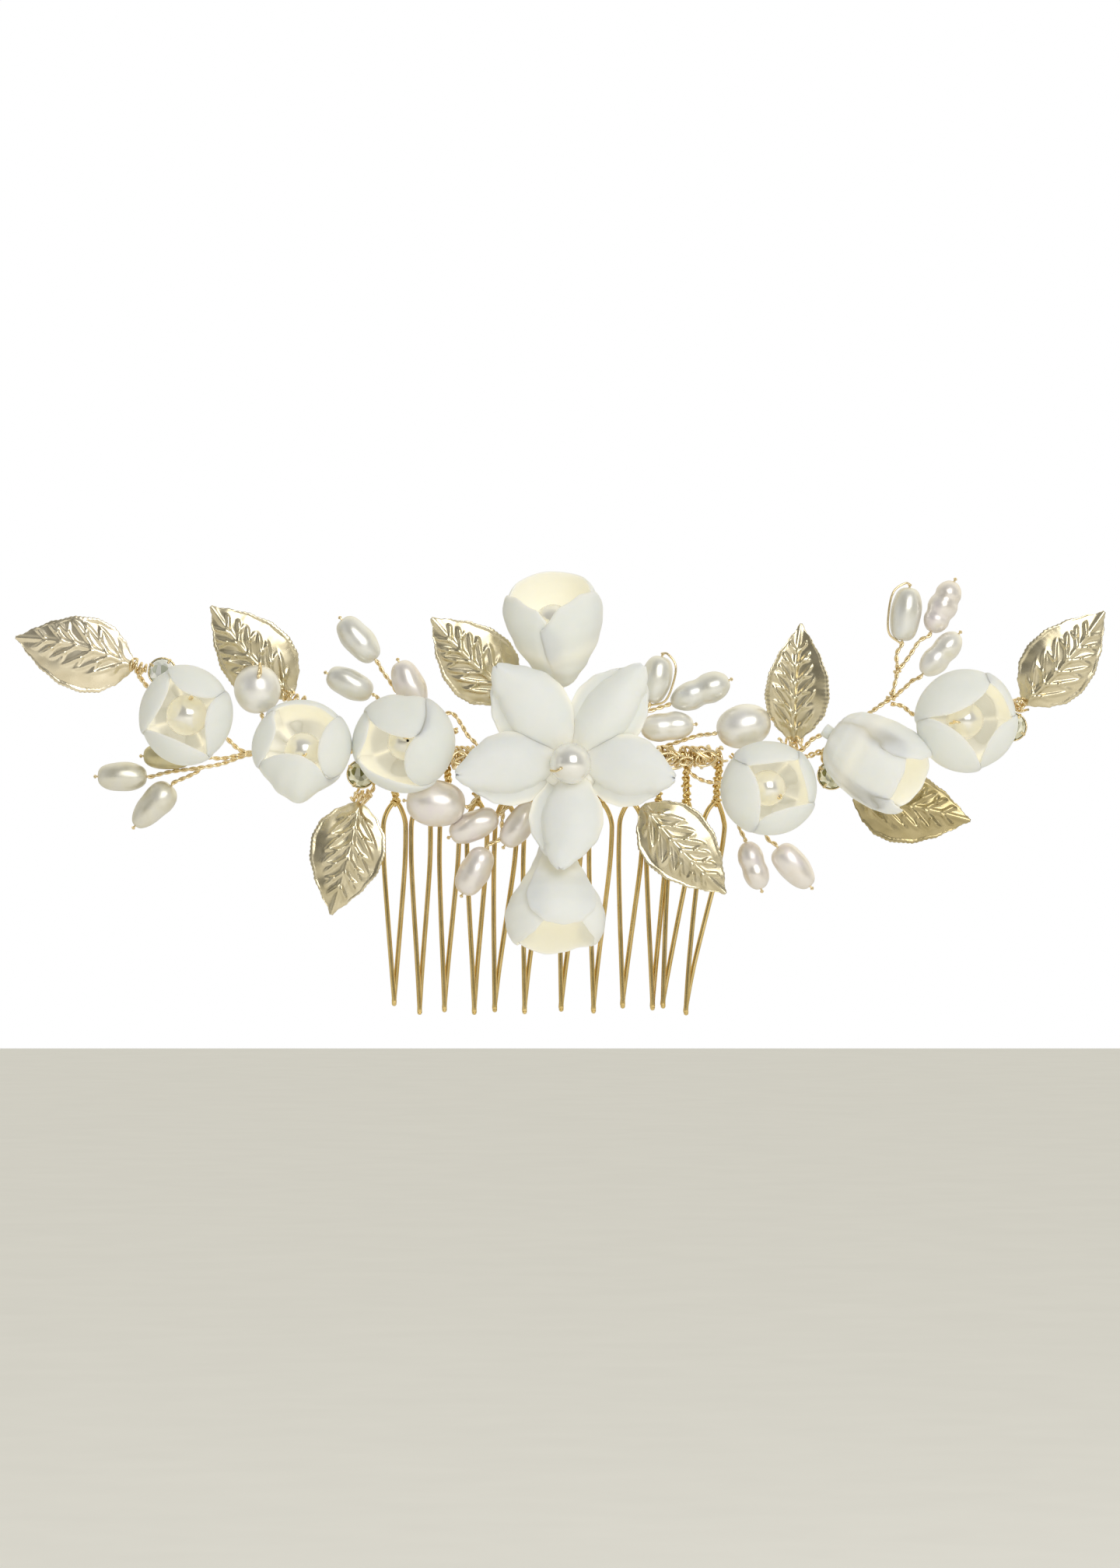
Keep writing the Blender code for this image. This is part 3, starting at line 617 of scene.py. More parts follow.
def tulip_top():
    profile = [(0.0, 0.21), (0.07, 0.34), (0.2, 0.56), (0.42, 0.83), (0.6, 0.96), (0.73, 1.0),
               (0.86, 0.95), (0.95, 0.86), (1.0, 0.76)]
    cup = Tulip((1.1, -4.6, 20.3), (-0.09, -0.35, 0.93), 15.0, 14.6, 17.2, profile, bend=-0.2)
    tulip("bud_top", "tulip_top", cup, [
        (-22, 204, [(0.0, 0.84), (0.18, 0.94), (0.38, 0.965), (0.6, 0.99), (0.82, 0.95), (1.0, 0.84)]),
        (168, 292, round_top(0.78, 0.935, 0.46, 0.58)),
        (266, 380, round_top(0.66, 0.94, 0.55, 0.80)),
    ], [(-0.35, -0.3), (0.25, -0.35), (0.1, 0.2)], clay)


def tulip_bottom():
    profile = [(0.0, 0.26), (0.12, 0.33), (0.26, 0.46), (0.42, 0.68), (0.58, 0.90), (0.72, 1.0),
               (0.84, 0.97), (0.94, 0.88), (1.0, 0.76)]
    cup = Tulip((0.3, -4.3, -5.2), (0.0, -0.35, -0.94), 15.6, 13.4, 17.6, profile)
    front = [(0.0, 0.60), (0.10, 0.78), (0.28, 0.90), (0.5, 0.94), (0.72, 0.91), (0.9, 0.80), (1.0, 0.62)]
    tulip("bud_bottom", "tulip_bottom", cup, [
        (186, 374, [(0.0, 0.84), (0.16, 0.95), (0.36, 1.0), (0.54, 0.965), (0.62, 0.93), (0.74, 0.955),
                    (0.88, 0.93), (1.0, 0.82)]),
        (98, 236, round_top(0.86, 1.0, 0.4)),
        (-60, 64, round_top(0.84, 0.98, 0.45)),
        (36, 126, front),
    ], [(-0.35, -0.4), (-0.1, 0.0), (0.0, -0.2), (0.85, 0.85)], bright_clay, ripple=0.05)


def flower_right_middle():
    profile = [(0.0, 0.36), (0.06, 0.62), (0.16, 0.80), (0.32, 0.93), (0.5, 1.0), (0.68, 1.0),
               (0.84, 0.93), (0.94, 0.83), (1.0, 0.70)]
    cup = Tulip((44.9, -6.0, 11.7), (0.84, -0.2, -0.5), 13.2, 13.4, 15.8, profile)
    lobe = [(0.0, 0.80), (0.3, 0.93), (0.55, 0.99), (0.8, 0.95), (0.93, 0.84), (1.0, 0.70)]
    front = [(0.0, 0.70), (0.12, 0.80), (0.35, 0.875), (0.6, 0.885), (0.85, 0.86), (1.0, 0.80)]
    tulip("bud_right_middle", "flower_right_middle", cup, [
        (-70, 62, round_top(0.88, 1.0, 0.5)),
        (216, 304, round_top(0.90, 1.0, 0.5)),
        (128, 250, front),
        (40, 158, lobe),
    ], [(-0.3, -0.3), (0.3, -0.2), (0.0, 0.25), (0.0, 0.45)], bright_clay, ripple=0.07, pleats=0.20,
          parting=(0.58, 0.92))
    stub = [cup.base + cup.mouth * 1.0, cup.base - cup.mouth * 0.7,
            cup.base - cup.mouth * 1.9 + cup.up * 0.1]
    wires("bud_nub", [(through(stub, 6), 2.2)], clay)


# ---- the star flower ----

STAR_HALF_WIDTH = [(0.0, 0.34), (0.15, 0.60), (0.34, 0.93), (0.5, 1.0), (0.66, 0.90), (0.8, 0.62),
                   (0.92, 0.27), (1.0, 0.02)]


def star_petal(name, middle_point, tip, width, crease, second=0.0, seed=0.0):
    """A pointed petal: a raised inner lobe, and a flatter band beyond a crease on one side."""
    axis = Vector(tip) - middle_point
    side = Vector((0, 1, 0)).cross(axis).normalized() * -1
    length = axis.length
    axis.normalize()

    def place(s, t):
        v = (2 * t - 1) * crease
        half = width / 2 * profile_value(STAR_HALF_WIDTH, s)
        groove = lerp(0.40, 0.56, smoothstep(0.0, 0.5, s)) + 0.5 * smoothstep(0.72, 1.0, s)
        far = -1.0 if not second else -0.62 - 0.4 * smoothstep(0.75, 1.0, s)
        lobe = 0.0
        if far < v < groove:
            share = (v - (far + groove) / 2) / ((groove - far) / 2)
            lobe = (1 - share * share) ** 0.6
        height = 2.6 * lobe * math.sin(math.pi * min(1.0, s * 0.92 + 0.05)) ** 0.8
        band = 0.0
        if v > groove:
            band = -0.25 * math.sin(math.pi * min(1.0, (v - groove) / (1.02 - groove))) - 0.75
        if second and v < far:
            band = -0.2
        band *= smoothstep(1.0, 0.8, s)
        cup_edge = 0.7 * (abs(v) ** 3) * math.sin(math.pi * s)
        lift = height + band - cup_edge + 0.25 * noise.noise(Vector((s * 3, t * 3, seed)))
        lift += 0.9 * s**3
        forward = Vector((0, -1, 0)) * lift
        return middle_point + axis * (length * lerp(0.07, 1.0, s)) + side * (half * v * crease) + forward

    # Painted glow near the centre and in the crevices where petals meet, lifting the shade there.
    def glow_paint(s, t):
        edge = abs(2 * t - 1)
        crevice_glow = smoothstep(0.72, 1.0, edge) * smoothstep(0.85, 0.45, s) * 0.8
        return min(1.0, max(smoothstep(0.32, 0.0, s) * 0.85, crevice_glow))

    obj = link(name, grid_mesh(name, 40, 40, place, glow_paint))
    thickened(obj, 0.9)
    rounded(obj)
    return obj


def star_flower():
    centre = Vector((middle("pearl_in_star_flower").x, -8.9, middle("pearl_in_star_flower").z))
    tips = {
        "upper_left": ((-9.2, -12.0, 22.9), 12.4, 1, 0.0),
        "upper_right": ((14.2, -12.0, 22.9), 12.2, -1, 1.0),
        "right": ((19.3, -11.6, 4.9), 11.6, -1, 0.0),
        "left": ((-15.6, -11.6, 5.5), 11.8, 1, 0.0),
        "bottom": ((1.1, -13.6, -9.5), 11.8, -1, 0.0),
    }
    petals = [star_petal(f"star_{name}", centre + Vector((0, -0.12 * k, 0)), tip, width, crease, second, k)
              for k, (name, (tip, width, crease, second)) in enumerate(tips.items())]

    def hub(s, t):
        angle = math.tau * t
        reach = lerp(1.0, 4.8, s)
        lift = 1.0 - 6.0 * (s - 0.45) ** 2 + 0.9 * math.exp(-(((reach - 3.7) / 0.5) ** 2))
        return centre + Vector((reach * math.cos(angle), -lift, reach * math.sin(angle)))

    # The seat carries painted glow, less towards its edge.
    seat = link("star_seat", grid_mesh("star_seat", 40, 8, hub, lambda s, t: 0.9 - 0.3 * s, closed=True))
    thickened(seat, 1.1)
    rounded(seat)
    finished(join_objects("star_blossom", [*petals, seat]), bright_clay, ["star_flower"])


# ---- leaves ----

LEAF_HALF_WIDTH = [(0.0, 0.10), (0.04, 0.30), (0.12, 0.62), (0.24, 0.90), (0.38, 1.0), (0.55, 0.93),
                   (0.72, 0.68), (0.86, 0.37), (0.96, 0.10), (1.0, 0.02)]
VEINS = 6  # on each side of the midrib


def leaf(node, base, tip, width, arch, cup, fold=0.0, bend=0.0, look=leaf_gold, seed=1):
    """A stamped leaf: midrib, forked side veins, a scalloped rolled edge and a gentle arch."""
    start = Vector(base)
    axis = Vector(tip) - start
    length = axis.length
    axis.normalize()
    side = axis.cross(Vector((0, 1, 0))).normalized()
    normal = side.cross(axis) if side.cross(axis).y < 0 else axis.cross(side)
    rng = np.random.default_rng(seed * 97)
    starts = {sign: [length * (0.07 + 0.80 * (k + 0.15 * rng.random()) / VEINS) for k in range(VEINS)]
              for sign in (-1, 1)}
    slopes = {sign: [0.95 + 0.25 * rng.random() for _ in range(VEINS)] for sign in (-1, 1)}

    def relief(x, y, half):
        """How far the stamping stands out at x along the leaf and y to its side."""
        out = 0.46 * (1 - 0.5 * x / length) * math.exp(-((y / 0.40) ** 2))
        sign, far = (1 if y > 0 else -1), abs(y)
        reach = half * 0.74
        for k in range(VEINS):
            at = starts[sign][k] + far * slopes[sign][k] + 0.05 * far * far
            fade = smoothstep(reach, reach * 0.7, far) * smoothstep(0.0, 0.4, far)
            out += 0.30 * fade * math.exp(-(((x - at) * 0.72 / 0.33) ** 2))
            fork = reach * 0.38
            if far > fork and k < VEINS - 1:
                split = starts[sign][k] + fork * slopes[sign][k] + (far - fork) * 0.25
                out += 0.20 * smoothstep(reach * 0.95, reach * 0.65, far) * math.exp(
                    -(((x - split) * 0.9 / 0.28) ** 2))
        rough = noise.noise(Vector((x * 0.35 + seed * 3, y * 0.35, seed)))
        return out + 0.16 * rough

    def place(s, t):
        v = 2 * t - 1
        half = width / 2 * profile_value(LEAF_HALF_WIDTH, s)
        scallop = 0.06 * math.sin(math.tau * s * 27 + seed) * smoothstep(0.0, 0.1, s) * v**9
        x, y = s * length, v * half + scallop
        rib = bend * math.sin(math.pi * s)
        rise = relief(x, y - rib, half) * smoothstep(1.0, 0.86, abs(v)) * smoothstep(0.0, 0.05, s)
        rise += 0.16 * smoothstep(0.86, 0.96, abs(v)) * math.sin(math.pi * min(1, s + 0.02))
        rise += arch * math.sin(math.pi * s) - cup * (v * v) * half / 6 - fold * abs(v) * half
        return start + axis * x + side * y + normal * rise

    obj = link(f"{node}_stamped", grid_mesh(node, 84, 150, place))
    thickened(obj, 0.26)
    finished(obj, look, [node])


def leaves():
    leaf("leaf_left_outer", (-67.6, -0.6, 22.9), (-86.6, -0.6, 27.6), 12.2, 1.5, 0.7, bend=-1.2,
         look=leaf_pale, seed=1)
    leaf("leaf_left_upper", (-42.2, 0.5, 18.3), (-55.2, -0.4, 32.6), 12.0, 1.0, 0.9, bend=0.8, seed=2)
    leaf("leaf_left_lower", (-31.3, -0.8, 1.0), (-35.8, -1.6, -17.0), 12.2, 0.8, 0.6, bend=0.4, seed=3)
    leaf("leaf_centre_upper", (-6.5, 0.9, 17.8), (-19.7, 0.0, 30.7), 12.2, 0.8, 0.7, bend=0.5, seed=4)
    leaf("leaf_centre_lower", (14.3, -2.4, 0.5), (27.6, -3.2, -13.6), 11.8, 0.8, 0.5, bend=-0.5, seed=5)
    leaf("leaf_right_upper", (38.6, -0.6, 10.9), (39.8, -0.9, 29.8), 10.4, 0.9, 0.3, fold=-0.34,
         bend=0.6, seed=6)
    leaf("leaf_right_lower", (48.3, 1.4, 1.9), (67.1, 0.4, -1.9), 11.8, 0.8, 0.6, bend=0.4,
         look=leaf_olive, seed=7)
    leaf("leaf_right_outer", (75.8, -0.4, 17.0), (88.6, -0.6, 31.7), 11.6, 1.0, 0.8, bend=-0.6, seed=8)


# ---- pearls ----

BORE = 0.22  # radius of the hole at each end of a pearl


def pearl_body(name, length, width, rings=0, taper=0.0, lump=0.05, seed=0.0, nip=0.12, square=0.68):
    """A pearl along its own Z, with a drilled hole through it."""

    def place(s, t):
        angle = math.pi * s
        around = math.tau * t
        z = math.cos(angle)
        reach = math.sin(angle) ** square
        if rings:
            phase = 0 if rings % 2 else math.pi / 2
            reach *= 1 - nip * math.cos(z * math.pi * (rings + 1) / 2 + phase) ** 4
        reach *= 1 + taper * z
        bumps = noise.noise(Vector((math.cos(around) * 0.9 + seed, math.sin(around) * 0.9, z * 1.6)))
        radius = max(width / 2 * reach * (1 + lump * bumps), BORE)
        return radius * math.cos(around), radius * math.sin(around), z * length / 2

    mesh = grid_mesh(name, 40, 34, place, closed=True)
    return link(name, mesh)


def set_pearl(obj, place, direction, look, node):
    """Puts a pearl in its place with its hole along this direction."""
    turn = Vector(direction).to_track_quat("Z", "Y").to_matrix().to_4x4()
    obj.matrix_world = Matrix.Translation(place * MM) @ turn
    finished(obj, look, [node])


# Length, width, tilt of the long axis in degrees, look and shape.
FRESHWATER = {
    "01": (7.9, 4.7, 180, champagne, dict(lump=0.06)),
    "02": (8.7, 4.9, 228, champagne, dict(taper=-0.22, rings=1, nip=0.04)),
    # Pearl 03 takes the painted-shade nacre.
    "03": (8.0, 4.3, 180, shaded_olive, dict()),
    "04": (7.8, 7.5, 100, ivory, dict(lump=0.02, square=0.9)),
    "05": (8.4, 5.0, 130, silver, dict(lump=0.08)),
    "06": (7.8, 4.7, 155, silver, dict(lump=0.09)),
    "07": (8.0, 4.9, 115, rose, dict(lump=0.06)),
    "08": (9.4, 7.5, 175, rose, dict(lump=0.03, square=0.8)),
    "09": (8.2, 4.8, 205, rose, dict(lump=0.07)),
    "10": (8.2, 5.0, 242, rose, dict(rings=2, nip=0.03)),
    "11": (8.2, 4.5, 235, rose, dict(lump=0.10)),
    "12": (7.6, 5.0, 75, silver, dict(lump=0.05)),
    "13": (10.0, 5.1, 22, silver, dict(rings=1, nip=0.15, taper=0.10)),
    "14": (8.5, 4.8, 5, ivory, dict(rings=1, nip=0.08)),
    "15": (8.8, 7.0, 14, ivory, dict(lump=0.03, square=0.88)),
    "16": (7.9, 4.4, -72, rose, dict(rings=1, nip=0.12)),
    "17": (8.2, 5.0, -50, rose, dict(taper=-0.14, lump=0.06)),
    "18": (8.6, 5.0, 82, silver, dict(lump=0.04, square=0.65)),
    "19": (8.9, 4.8, 65, rose, dict(rings=2, nip=0.12)),
    "20": (8.6, 4.5, 48, ivory, dict(rings=1, nip=0.13)),
}


def freshwater_pearls():
    for number, (length, width, tilt, look, shape) in FRESHWATER.items():
        node = f"freshwater_pearl_{number}"
        obj = pearl_body(f"{node}_nacre", length, width, seed=float(tilt) * 0.37, **shape)
        set_pearl(obj, middle(node), in_plane(tilt), look, node)


# Diameter, the way that the hole points, and how far the pearl is moved from its CAD place.
FLOWER_PEARLS = {
    "flower_left_outer": (6.7, (0.2, -0.5, 0.85), (0, 0, 0)),
    "flower_left_middle": (6.0, (0.1, -0.9, -0.2), (0, 0, 0)),
    "flower_left_inner": (6.0, (0.1, -0.95, 0.1), (0, 0, 0)),
    "tulip_top": (6.0, (0.0, 1.0, 0.1), (-0.3, 0.0, 1.0)),
    "tulip_bottom": (6.0, (0, -0.5, -0.87), (0, 0, 0)),
    "flower_right_inner": (5.9, (0.6, -0.6, -0.5), (0, 0, 0)),
    "flower_right_middle": (6.0, (0.84, 0.1, -0.5), (0, 0, 0)),
    "flower_right_outer": (6.0, (-0.6, -0.75, -0.1), (0, 0, 0)),
    "star_flower": (6.6, (-0.48, -0.85, -0.22), (0, 0, 0)),
}

# The flower, how far from its pearl's middle the wire stands out, in what direction, and its lean.
WIRE_ENDS = (
    ("flower_left_outer", 3.15, (0.15, -0.62, 0.77), (0.5, 0.0, 0.3)),
    ("flower_right_outer", 3.0, (-0.62, -0.78, -0.05), (0.9, -0.3, -0.2)),
    ("flower_right_outer", 3.0, (-0.78, -0.60, -0.16), (0.8, -0.4, 0.1)),
    ("flower_right_inner", 2.95, (0.55, -0.66, -0.51), (0.4, 0.0, 0.4)),
    ("flower_left_middle", 3.0, (0.05, -0.97, -0.22), (0.4, 0.0, 0.2)),
    ("flower_left_inner", 3.0, (0.05, -0.97, 0.20), (-0.4, 0.0, 0.2)),
)


def flower_pearls():
    for flower, (diameter, direction, shift) in FLOWER_PEARLS.items():
        node = f"pearl_in_{flower}"
        obj = pearl_body(f"round_{node}", diameter, diameter, lump=0.0, square=1.0)
        set_pearl(obj, middle(node) + Vector(shift), direction, round_white, node)
    wires("pearl_wire_ends", [wire_end(*data) for data in WIRE_ENDS], craft_gold)


def wire_end(flower, radius, direction, lean):
    """The bent end of the wire that holds a round pearl, standing just off it."""
    centre, out, lean = middle(f"pearl_in_{flower}"), Vector(direction).normalized(), Vector(lean)
    steps = ((-0.3, 0.0), (0.2, 0.05), (0.42, 0.35), (0.34, 0.8), (-0.1, 1.15))
    return through([centre + out * (radius + lift) + lean * along for lift, along in steps], 6), THIN


# ---- crystals ----

STONE = 4.5  # width of a stone's cup
# The rings of a stone's corners: share of the girdle's radius, height, how many, and their turn.
STONE_RINGS = ((0.56, 1.05, 8, 0.0), (0.86, 0.62, 8, 0.5), (1.0, 0.28, 16, 0.0), (1.0, 0.14, 16, 0.0),
               (0.52, -0.75, 8, 0.5))


def stone(number, look, centre):
    """A brilliant: table, eight star facets, main facets, girdle and pavilion."""
    girdle = STONE / 2 - 0.17
    mesh = bmesh.new()
    for share, lift, count, turn in STONE_RINGS:
        for k in range(count):
            angle, reach = math.tau * (k + turn) / count, girdle * share * MM
            mesh.verts.new((reach * math.cos(angle), -lift * MM, reach * math.sin(angle)))
    mesh.verts.new((0, 1.45 * MM, 0))
    bmesh.ops.convex_hull(mesh, input=mesh.verts)
    bmesh.ops.dissolve_limit(mesh, angle_limit=math.radians(0.5), verts=mesh.verts, edges=mesh.edges)
    data = bpy.data.meshes.new(f"brilliant_{number}")
    mesh.to_mesh(data)
    mesh.free()
    obj = link(f"brilliant_{number}", data)
    obj.matrix_world = Matrix.Translation((centre + Vector((0, -0.7, 0))) * MM)
    finished(obj, look, [f"crystal_{number}"])


def crystal(number, look):
    """A stone in a claw cup."""
    centre = middle(f"crystal_cup_{number}")
    stone(number, look, centre)

    def bowl(s, t):
        angle = math.tau * t
        reach = STONE / 2 * profile_value([(0, 0.05), (0.25, 0.5), (0.6, 0.93), (1.0, 1.0)], s)
        lift = profile_value([(0, -1.0), (0.25, -0.95), (0.6, -0.3), (1.0, 0.75)], s)
        lift += 0.22 * smoothstep(0.8, 1.0, s) * max(0.0, math.cos(angle * 4)) ** 3
        return centre + Vector((reach * math.cos(angle), -lift, reach * math.sin(angle)))

    cup = link(f"claw_cup_{number}", grid_mesh(f"claw_cup_{number}", 64, 12, bowl, closed=True))
    thickened(cup, 0.22)
    finished(cup, cup_gold, [f"crystal_cup_{number}"])
    claws = []
    for k in range(4):
        angle = math.tau * (k + 0.5) / 4 + 0.2
        out = Vector((math.cos(angle), 0, math.sin(angle)))
        steps = ((0.02, 0.1), (0.02, 0.7), (-0.25, 1.15), (-0.62, 1.22))
        claw = [centre + out * (STONE / 2 + wide) - Vector((0, lift, 0)) for wide, lift in steps]
        claws.append((through(claw, 4), 0.42))
    wires(f"claws_{number}", claws, cup_gold)


# ---- wires ----

THIN = 0.36  # the craft wire that most pairs are twisted from
STEP = 0.22  # between the points of a twist
TRUNK = (0.44, 2.6, 0.34, 3)  # strand, pitch, distance from the middle and number of strands
KNOT = 0.06  # the unevenness of the coils that tie a leaf on


def moving_frame(points):
    """Two directions square to a curve at each of its points, without a twist of their own."""
    frames, across = [], None
    for i, point in enumerate(points):
        ahead = (points[min(i + 1, len(points) - 1)] - points[max(i - 1, 0)]).normalized()
        if across is None:
            across = ahead.orthogonal().normalized()
        across = (across - ahead * across.dot(ahead)).normalized()
        frames.append((across.copy(), ahead.cross(across)))
    return frames


def even(points, step):
    """The same curve with a point every step millimetres."""
    lengths = [0.0]
    for a, b in zip(points, points[1:]):
        lengths.append(lengths[-1] + (b - a).length)
    count = max(2, round(lengths[-1] / step))
    made, k = [], 0
    for i in range(count + 1):
        want = lengths[-1] * i / count
        while k < len(points) - 2 and lengths[k + 1] < want:
            k += 1
        span = lengths[k + 1] - lengths[k] or 1.0
        made.append(points[k].lerp(points[k + 1], min(1.0, (want - lengths[k]) / span)))
    return made


def twisted(route, strand=THIN, pitch=2.7, apart=None, strands=2, phase=0.0):
    """Strands wound round each other along a route."""
    centre = even(through(route), STEP)
    frames = moving_frame(centre)
    apart = strand * 0.5 if apart is None else apart
    made = []
    for k in range(strands):
        line = []
        for i, (point, (a, b)) in enumerate(zip(centre, frames)):
            angle = math.tau * (i * STEP / pitch + k / strands) + phase
            line.append(point + (a * math.cos(angle) + b * math.sin(angle)) * apart)
        made.append((line, strand))
    return made


def coil(start, end, radius, turns, strand=0.42, seed=0.0, wobble=0.0):
    """One wire wound round the line from start to end."""
    start, end = Vector(start), Vector(end)
    ahead = (end - start).normalized()
    a = ahead.orthogonal().normalized()
    b = ahead.cross(a)
    steps = int(turns * 24)
    line = []
    for i in range(steps + 1):
        angle = math.tau * turns * i / steps + seed
        reach = radius * (1 + wobble * noise.noise(Vector((angle * 0.7, seed, 0))))
        line.append(start.lerp(end, i / steps) + (a * math.cos(angle) + b * math.sin(angle)) * reach)
    return line, strand


def pearl_ends(number):
    """The near and far ends of a freshwater pearl's long axis, just outside it."""
    length, _, tilt, _, _ = FRESHWATER[number]
    centre = middle(f"freshwater_pearl_{number}")
    axis = in_plane(tilt)
    return centre - axis * (length / 2 + 0.15), centre + axis * (length / 2 + 0.25)


def branch(number, route, loop=0):
    """A twisted pair up to a pearl, one wire through its hole, and a knob or loop at the far end."""
    near, far = pearl_ends(number)
    axis = (far - near).normalized()
    strands = twisted([*route, near - axis * 0.6, near])
    strands.append(([near - axis * 0.3, near, far, far + axis * 0.12], THIN))
    knob = far + axis * 0.10
    side = axis.orthogonal().normalized() * 0.2
    strands.append((through([knob - side, knob + axis * 0.16, knob + side], 4), 0.42))
    if loop:
        width = FRESHWATER[number][1] / 2 + 0.2
        out = axis.cross(Vector((0, 1, 0))).normalized() * loop
        lift = Vector((0, -0.9, 0))
        length = (far - near).length
        strands.append((through([
            far + axis * 0.15 - out * 0.2 + lift * 0.2, far + axis * 0.35 + out * 0.8 + lift * 0.6,
            far - axis * length * 0.14 + out * width * 0.92 + lift,
            near + axis * length * 0.5 + out * (width + 0.12) + lift,
            near + axis * length * 0.12 + out * width * 0.85 + lift * 0.8,
            near - axis * 0.3 + out * 0.2], 8), THIN))
    return strands


def left_vine():
    stem = Vector((-48.0, 0.2, 8.9))
    strands = []
    strands += twisted([(-27.2, 0.3, 9.0), (-31.5, 0.2, 9.4), (-36.0, 0.3, 8.9), (-42.5, 0.3, 8.6), stem],
                       *TRUNK)
    strands += twisted([stem, (-50.4, 0.1, 9.4), (-52.4, 0.0, 11.1), (-54.5, 0.2, 13.2), (-58.8, 0.4, 15.0)],
                       0.40, 2.6)
    strands += twisted([(-58.8, 0.5, 15.0), (-62.0, 0.2, 17.2), (-64.5, 0.0, 18.7), (-66.2, -0.2, 20.6),
                        (-66.9, -0.3, 22.0)], 0.42, 2.2)
    strands += branch("01", [stem, (-50.2, -0.1, 8.4), (-53.6, -0.5, 7.2), (-57.7, -0.8, 6.5),
                             (-62.0, -1.0, 5.9)])
    strands += branch("02", [(-56.6, -0.9, 6.6), (-58.0, -1.2, 5.6)])
    strands += branch("03", [stem, (-50.6, 0.0, 8.7), (-53.5, -0.3, 8.1)])
    strands += branch("04", [(-44.3, 0.3, 8.8), (-45.2, -1.0, 12.0), (-46.4, -3.4, 13.4)])
    strands += twisted([(-40.3, 0.2, 8.7), (-41.4, 0.4, 14.0), (-42.0, -0.4, 17.6)])
    strands += twisted([(-62.0, 0.4, 17.2), (-62.9, 0.8, 19.6), (-62.9, -0.2, 21.6)])
    strands += [coil((-65.6, -0.5, 22.3), (-68.2, -0.5, 23.2), 0.85, 3.4, 0.42, 0.4, KNOT),
                coil((-66.2, -0.5, 21.2), (-68.0, -0.5, 24.6), 0.62, 2.2, 0.40, 1.4, KNOT),
                coil((-43.8, -0.6, 18.3), (-40.0, -0.6, 17.3), 0.72, 3.2, 0.44, 0.9, KNOT),
                coil((-42.6, -0.5, 19.4), (-42.0, -0.5, 16.4), 0.66, 2.0, 0.44, 0.2, KNOT)]
    top = middle("freshwater_pearl_04") + Vector((0.4, -3.2, 2.6))
    strands.append((through([top + Vector((0.1, 1.6, 1.5)), top + Vector((0.1, -0.1, 0.9)),
                             top + Vector((0, -0.55, 0.1)), top + Vector((-0.1, -0.5, -0.7)),
                             top + Vector((0.3, -0.3, -0.2)), top + Vector((0.25, 0.7, 1.1))], 8), 0.4))
    wires("left_vine_twist", strands, craft_gold, ["vine_wire_left"])


def inner_left_vine():
    hub = Vector((-24.6, 1.2, 11.6))
    strands = twisted([(-15.5, 1.2, 12.6), hub, (-30.6, 1.2, 11.2)], *TRUNK)
    strands += branch("05", [hub, (-24.9, 0.2, 17.6), (-26.2, -0.6, 20.2), (-27.6, -1.2, 22.2)])
    strands += branch("06", [hub, (-26.4, 0.2, 15.8), (-28.0, -0.9, 17.4)])
    strands += branch("07", [hub, (-21.9, 0.2, 13.8)])
    strands += twisted([(-30.2, 1.3, 11.3), (-31.0, 0.6, 8.2), (-30.9, -1.6, 5.8)])
    strands += twisted([(-29.4, 1.2, 11.2), (-29.4, 0.4, 6.6), (-29.0, -0.6, 3.4), (-30.6, -0.8, 1.6)])
    strands += twisted([(-18.6, 1.4, 15.0), (-16.4, 0.8, 15.4), (-14.9, 0.4, 13.6), (-13.9, -0.3, 11.9),
                        (-12.6, -0.8, 10.6), (-11.6, -0.8, 9.2)])
    strands += [coil((-31.9, -0.9, 2.6), (-30.0, -0.9, 1.2), 0.95, 3.0, 0.46, 0.6, KNOT),
                coil((-32.6, -0.9, 1.8), (-29.4, -1.1, 2.6), 0.6, 3.2, 0.44, 2.1, KNOT)]
    wires("inner_left_twist", strands, craft_gold, ["inner_left_wire"])


def centre_vine():
    star = middle("pearl_in_star_flower")
    strands = twisted([(2.2, -1.7, 17.0), (2.6, -1.7, 7.3), (0.8, -1.7, -7.0)], *TRUNK)
    strands += twisted([(2.6, -1.7, 7.3), (2.6, -6.0, 7.3), (2.6, -9.0, 7.3)])
    strands += branch("08", [(2.6, -1.7, 7.0), (-4.0, -2.4, 6.0), (-10.5, -3.6, 3.6)])
    strands += branch("09", [(2.5, -1.7, 6.4), (-4.5, -2.4, 3.0)])
    strands += branch("11", [(2.3, -1.7, 5.0), (-0.6, -2.4, 3.2)])
    strands += branch("10", [(-4.4, -2.4, 3.0), (-7.4, -2.9, 1.8), (-8.3, -3.4, -2.0), (-8.4, -3.5, -4.6)])
    strands += branch("12", [(2.6, -1.9, 8.6), (11.6, -2.2, 12.4)], loop=-1)
    strands += branch("13", [(2.6, -1.9, 8.6), (10.5, -2.0, 13.2), (13.5, -2.2, 15.0)])
    strands += branch("14", [(2.6, -1.9, 8.6), (9.0, -2.2, 10.6)])
    nub = star + Vector((-1.45, -2.6, -0.65))
    strands.append((through([nub + Vector((-1.7, 0.4, -0.5)), nub + Vector((-0.9, -0.3, -0.6)),
                             nub + Vector((-0.1, -0.4, -0.2)), nub + Vector((0.3, 0.3, 0.06))], 8), 0.42))
    wires("centre_twist", strands, craft_gold, ["centre_wire"])


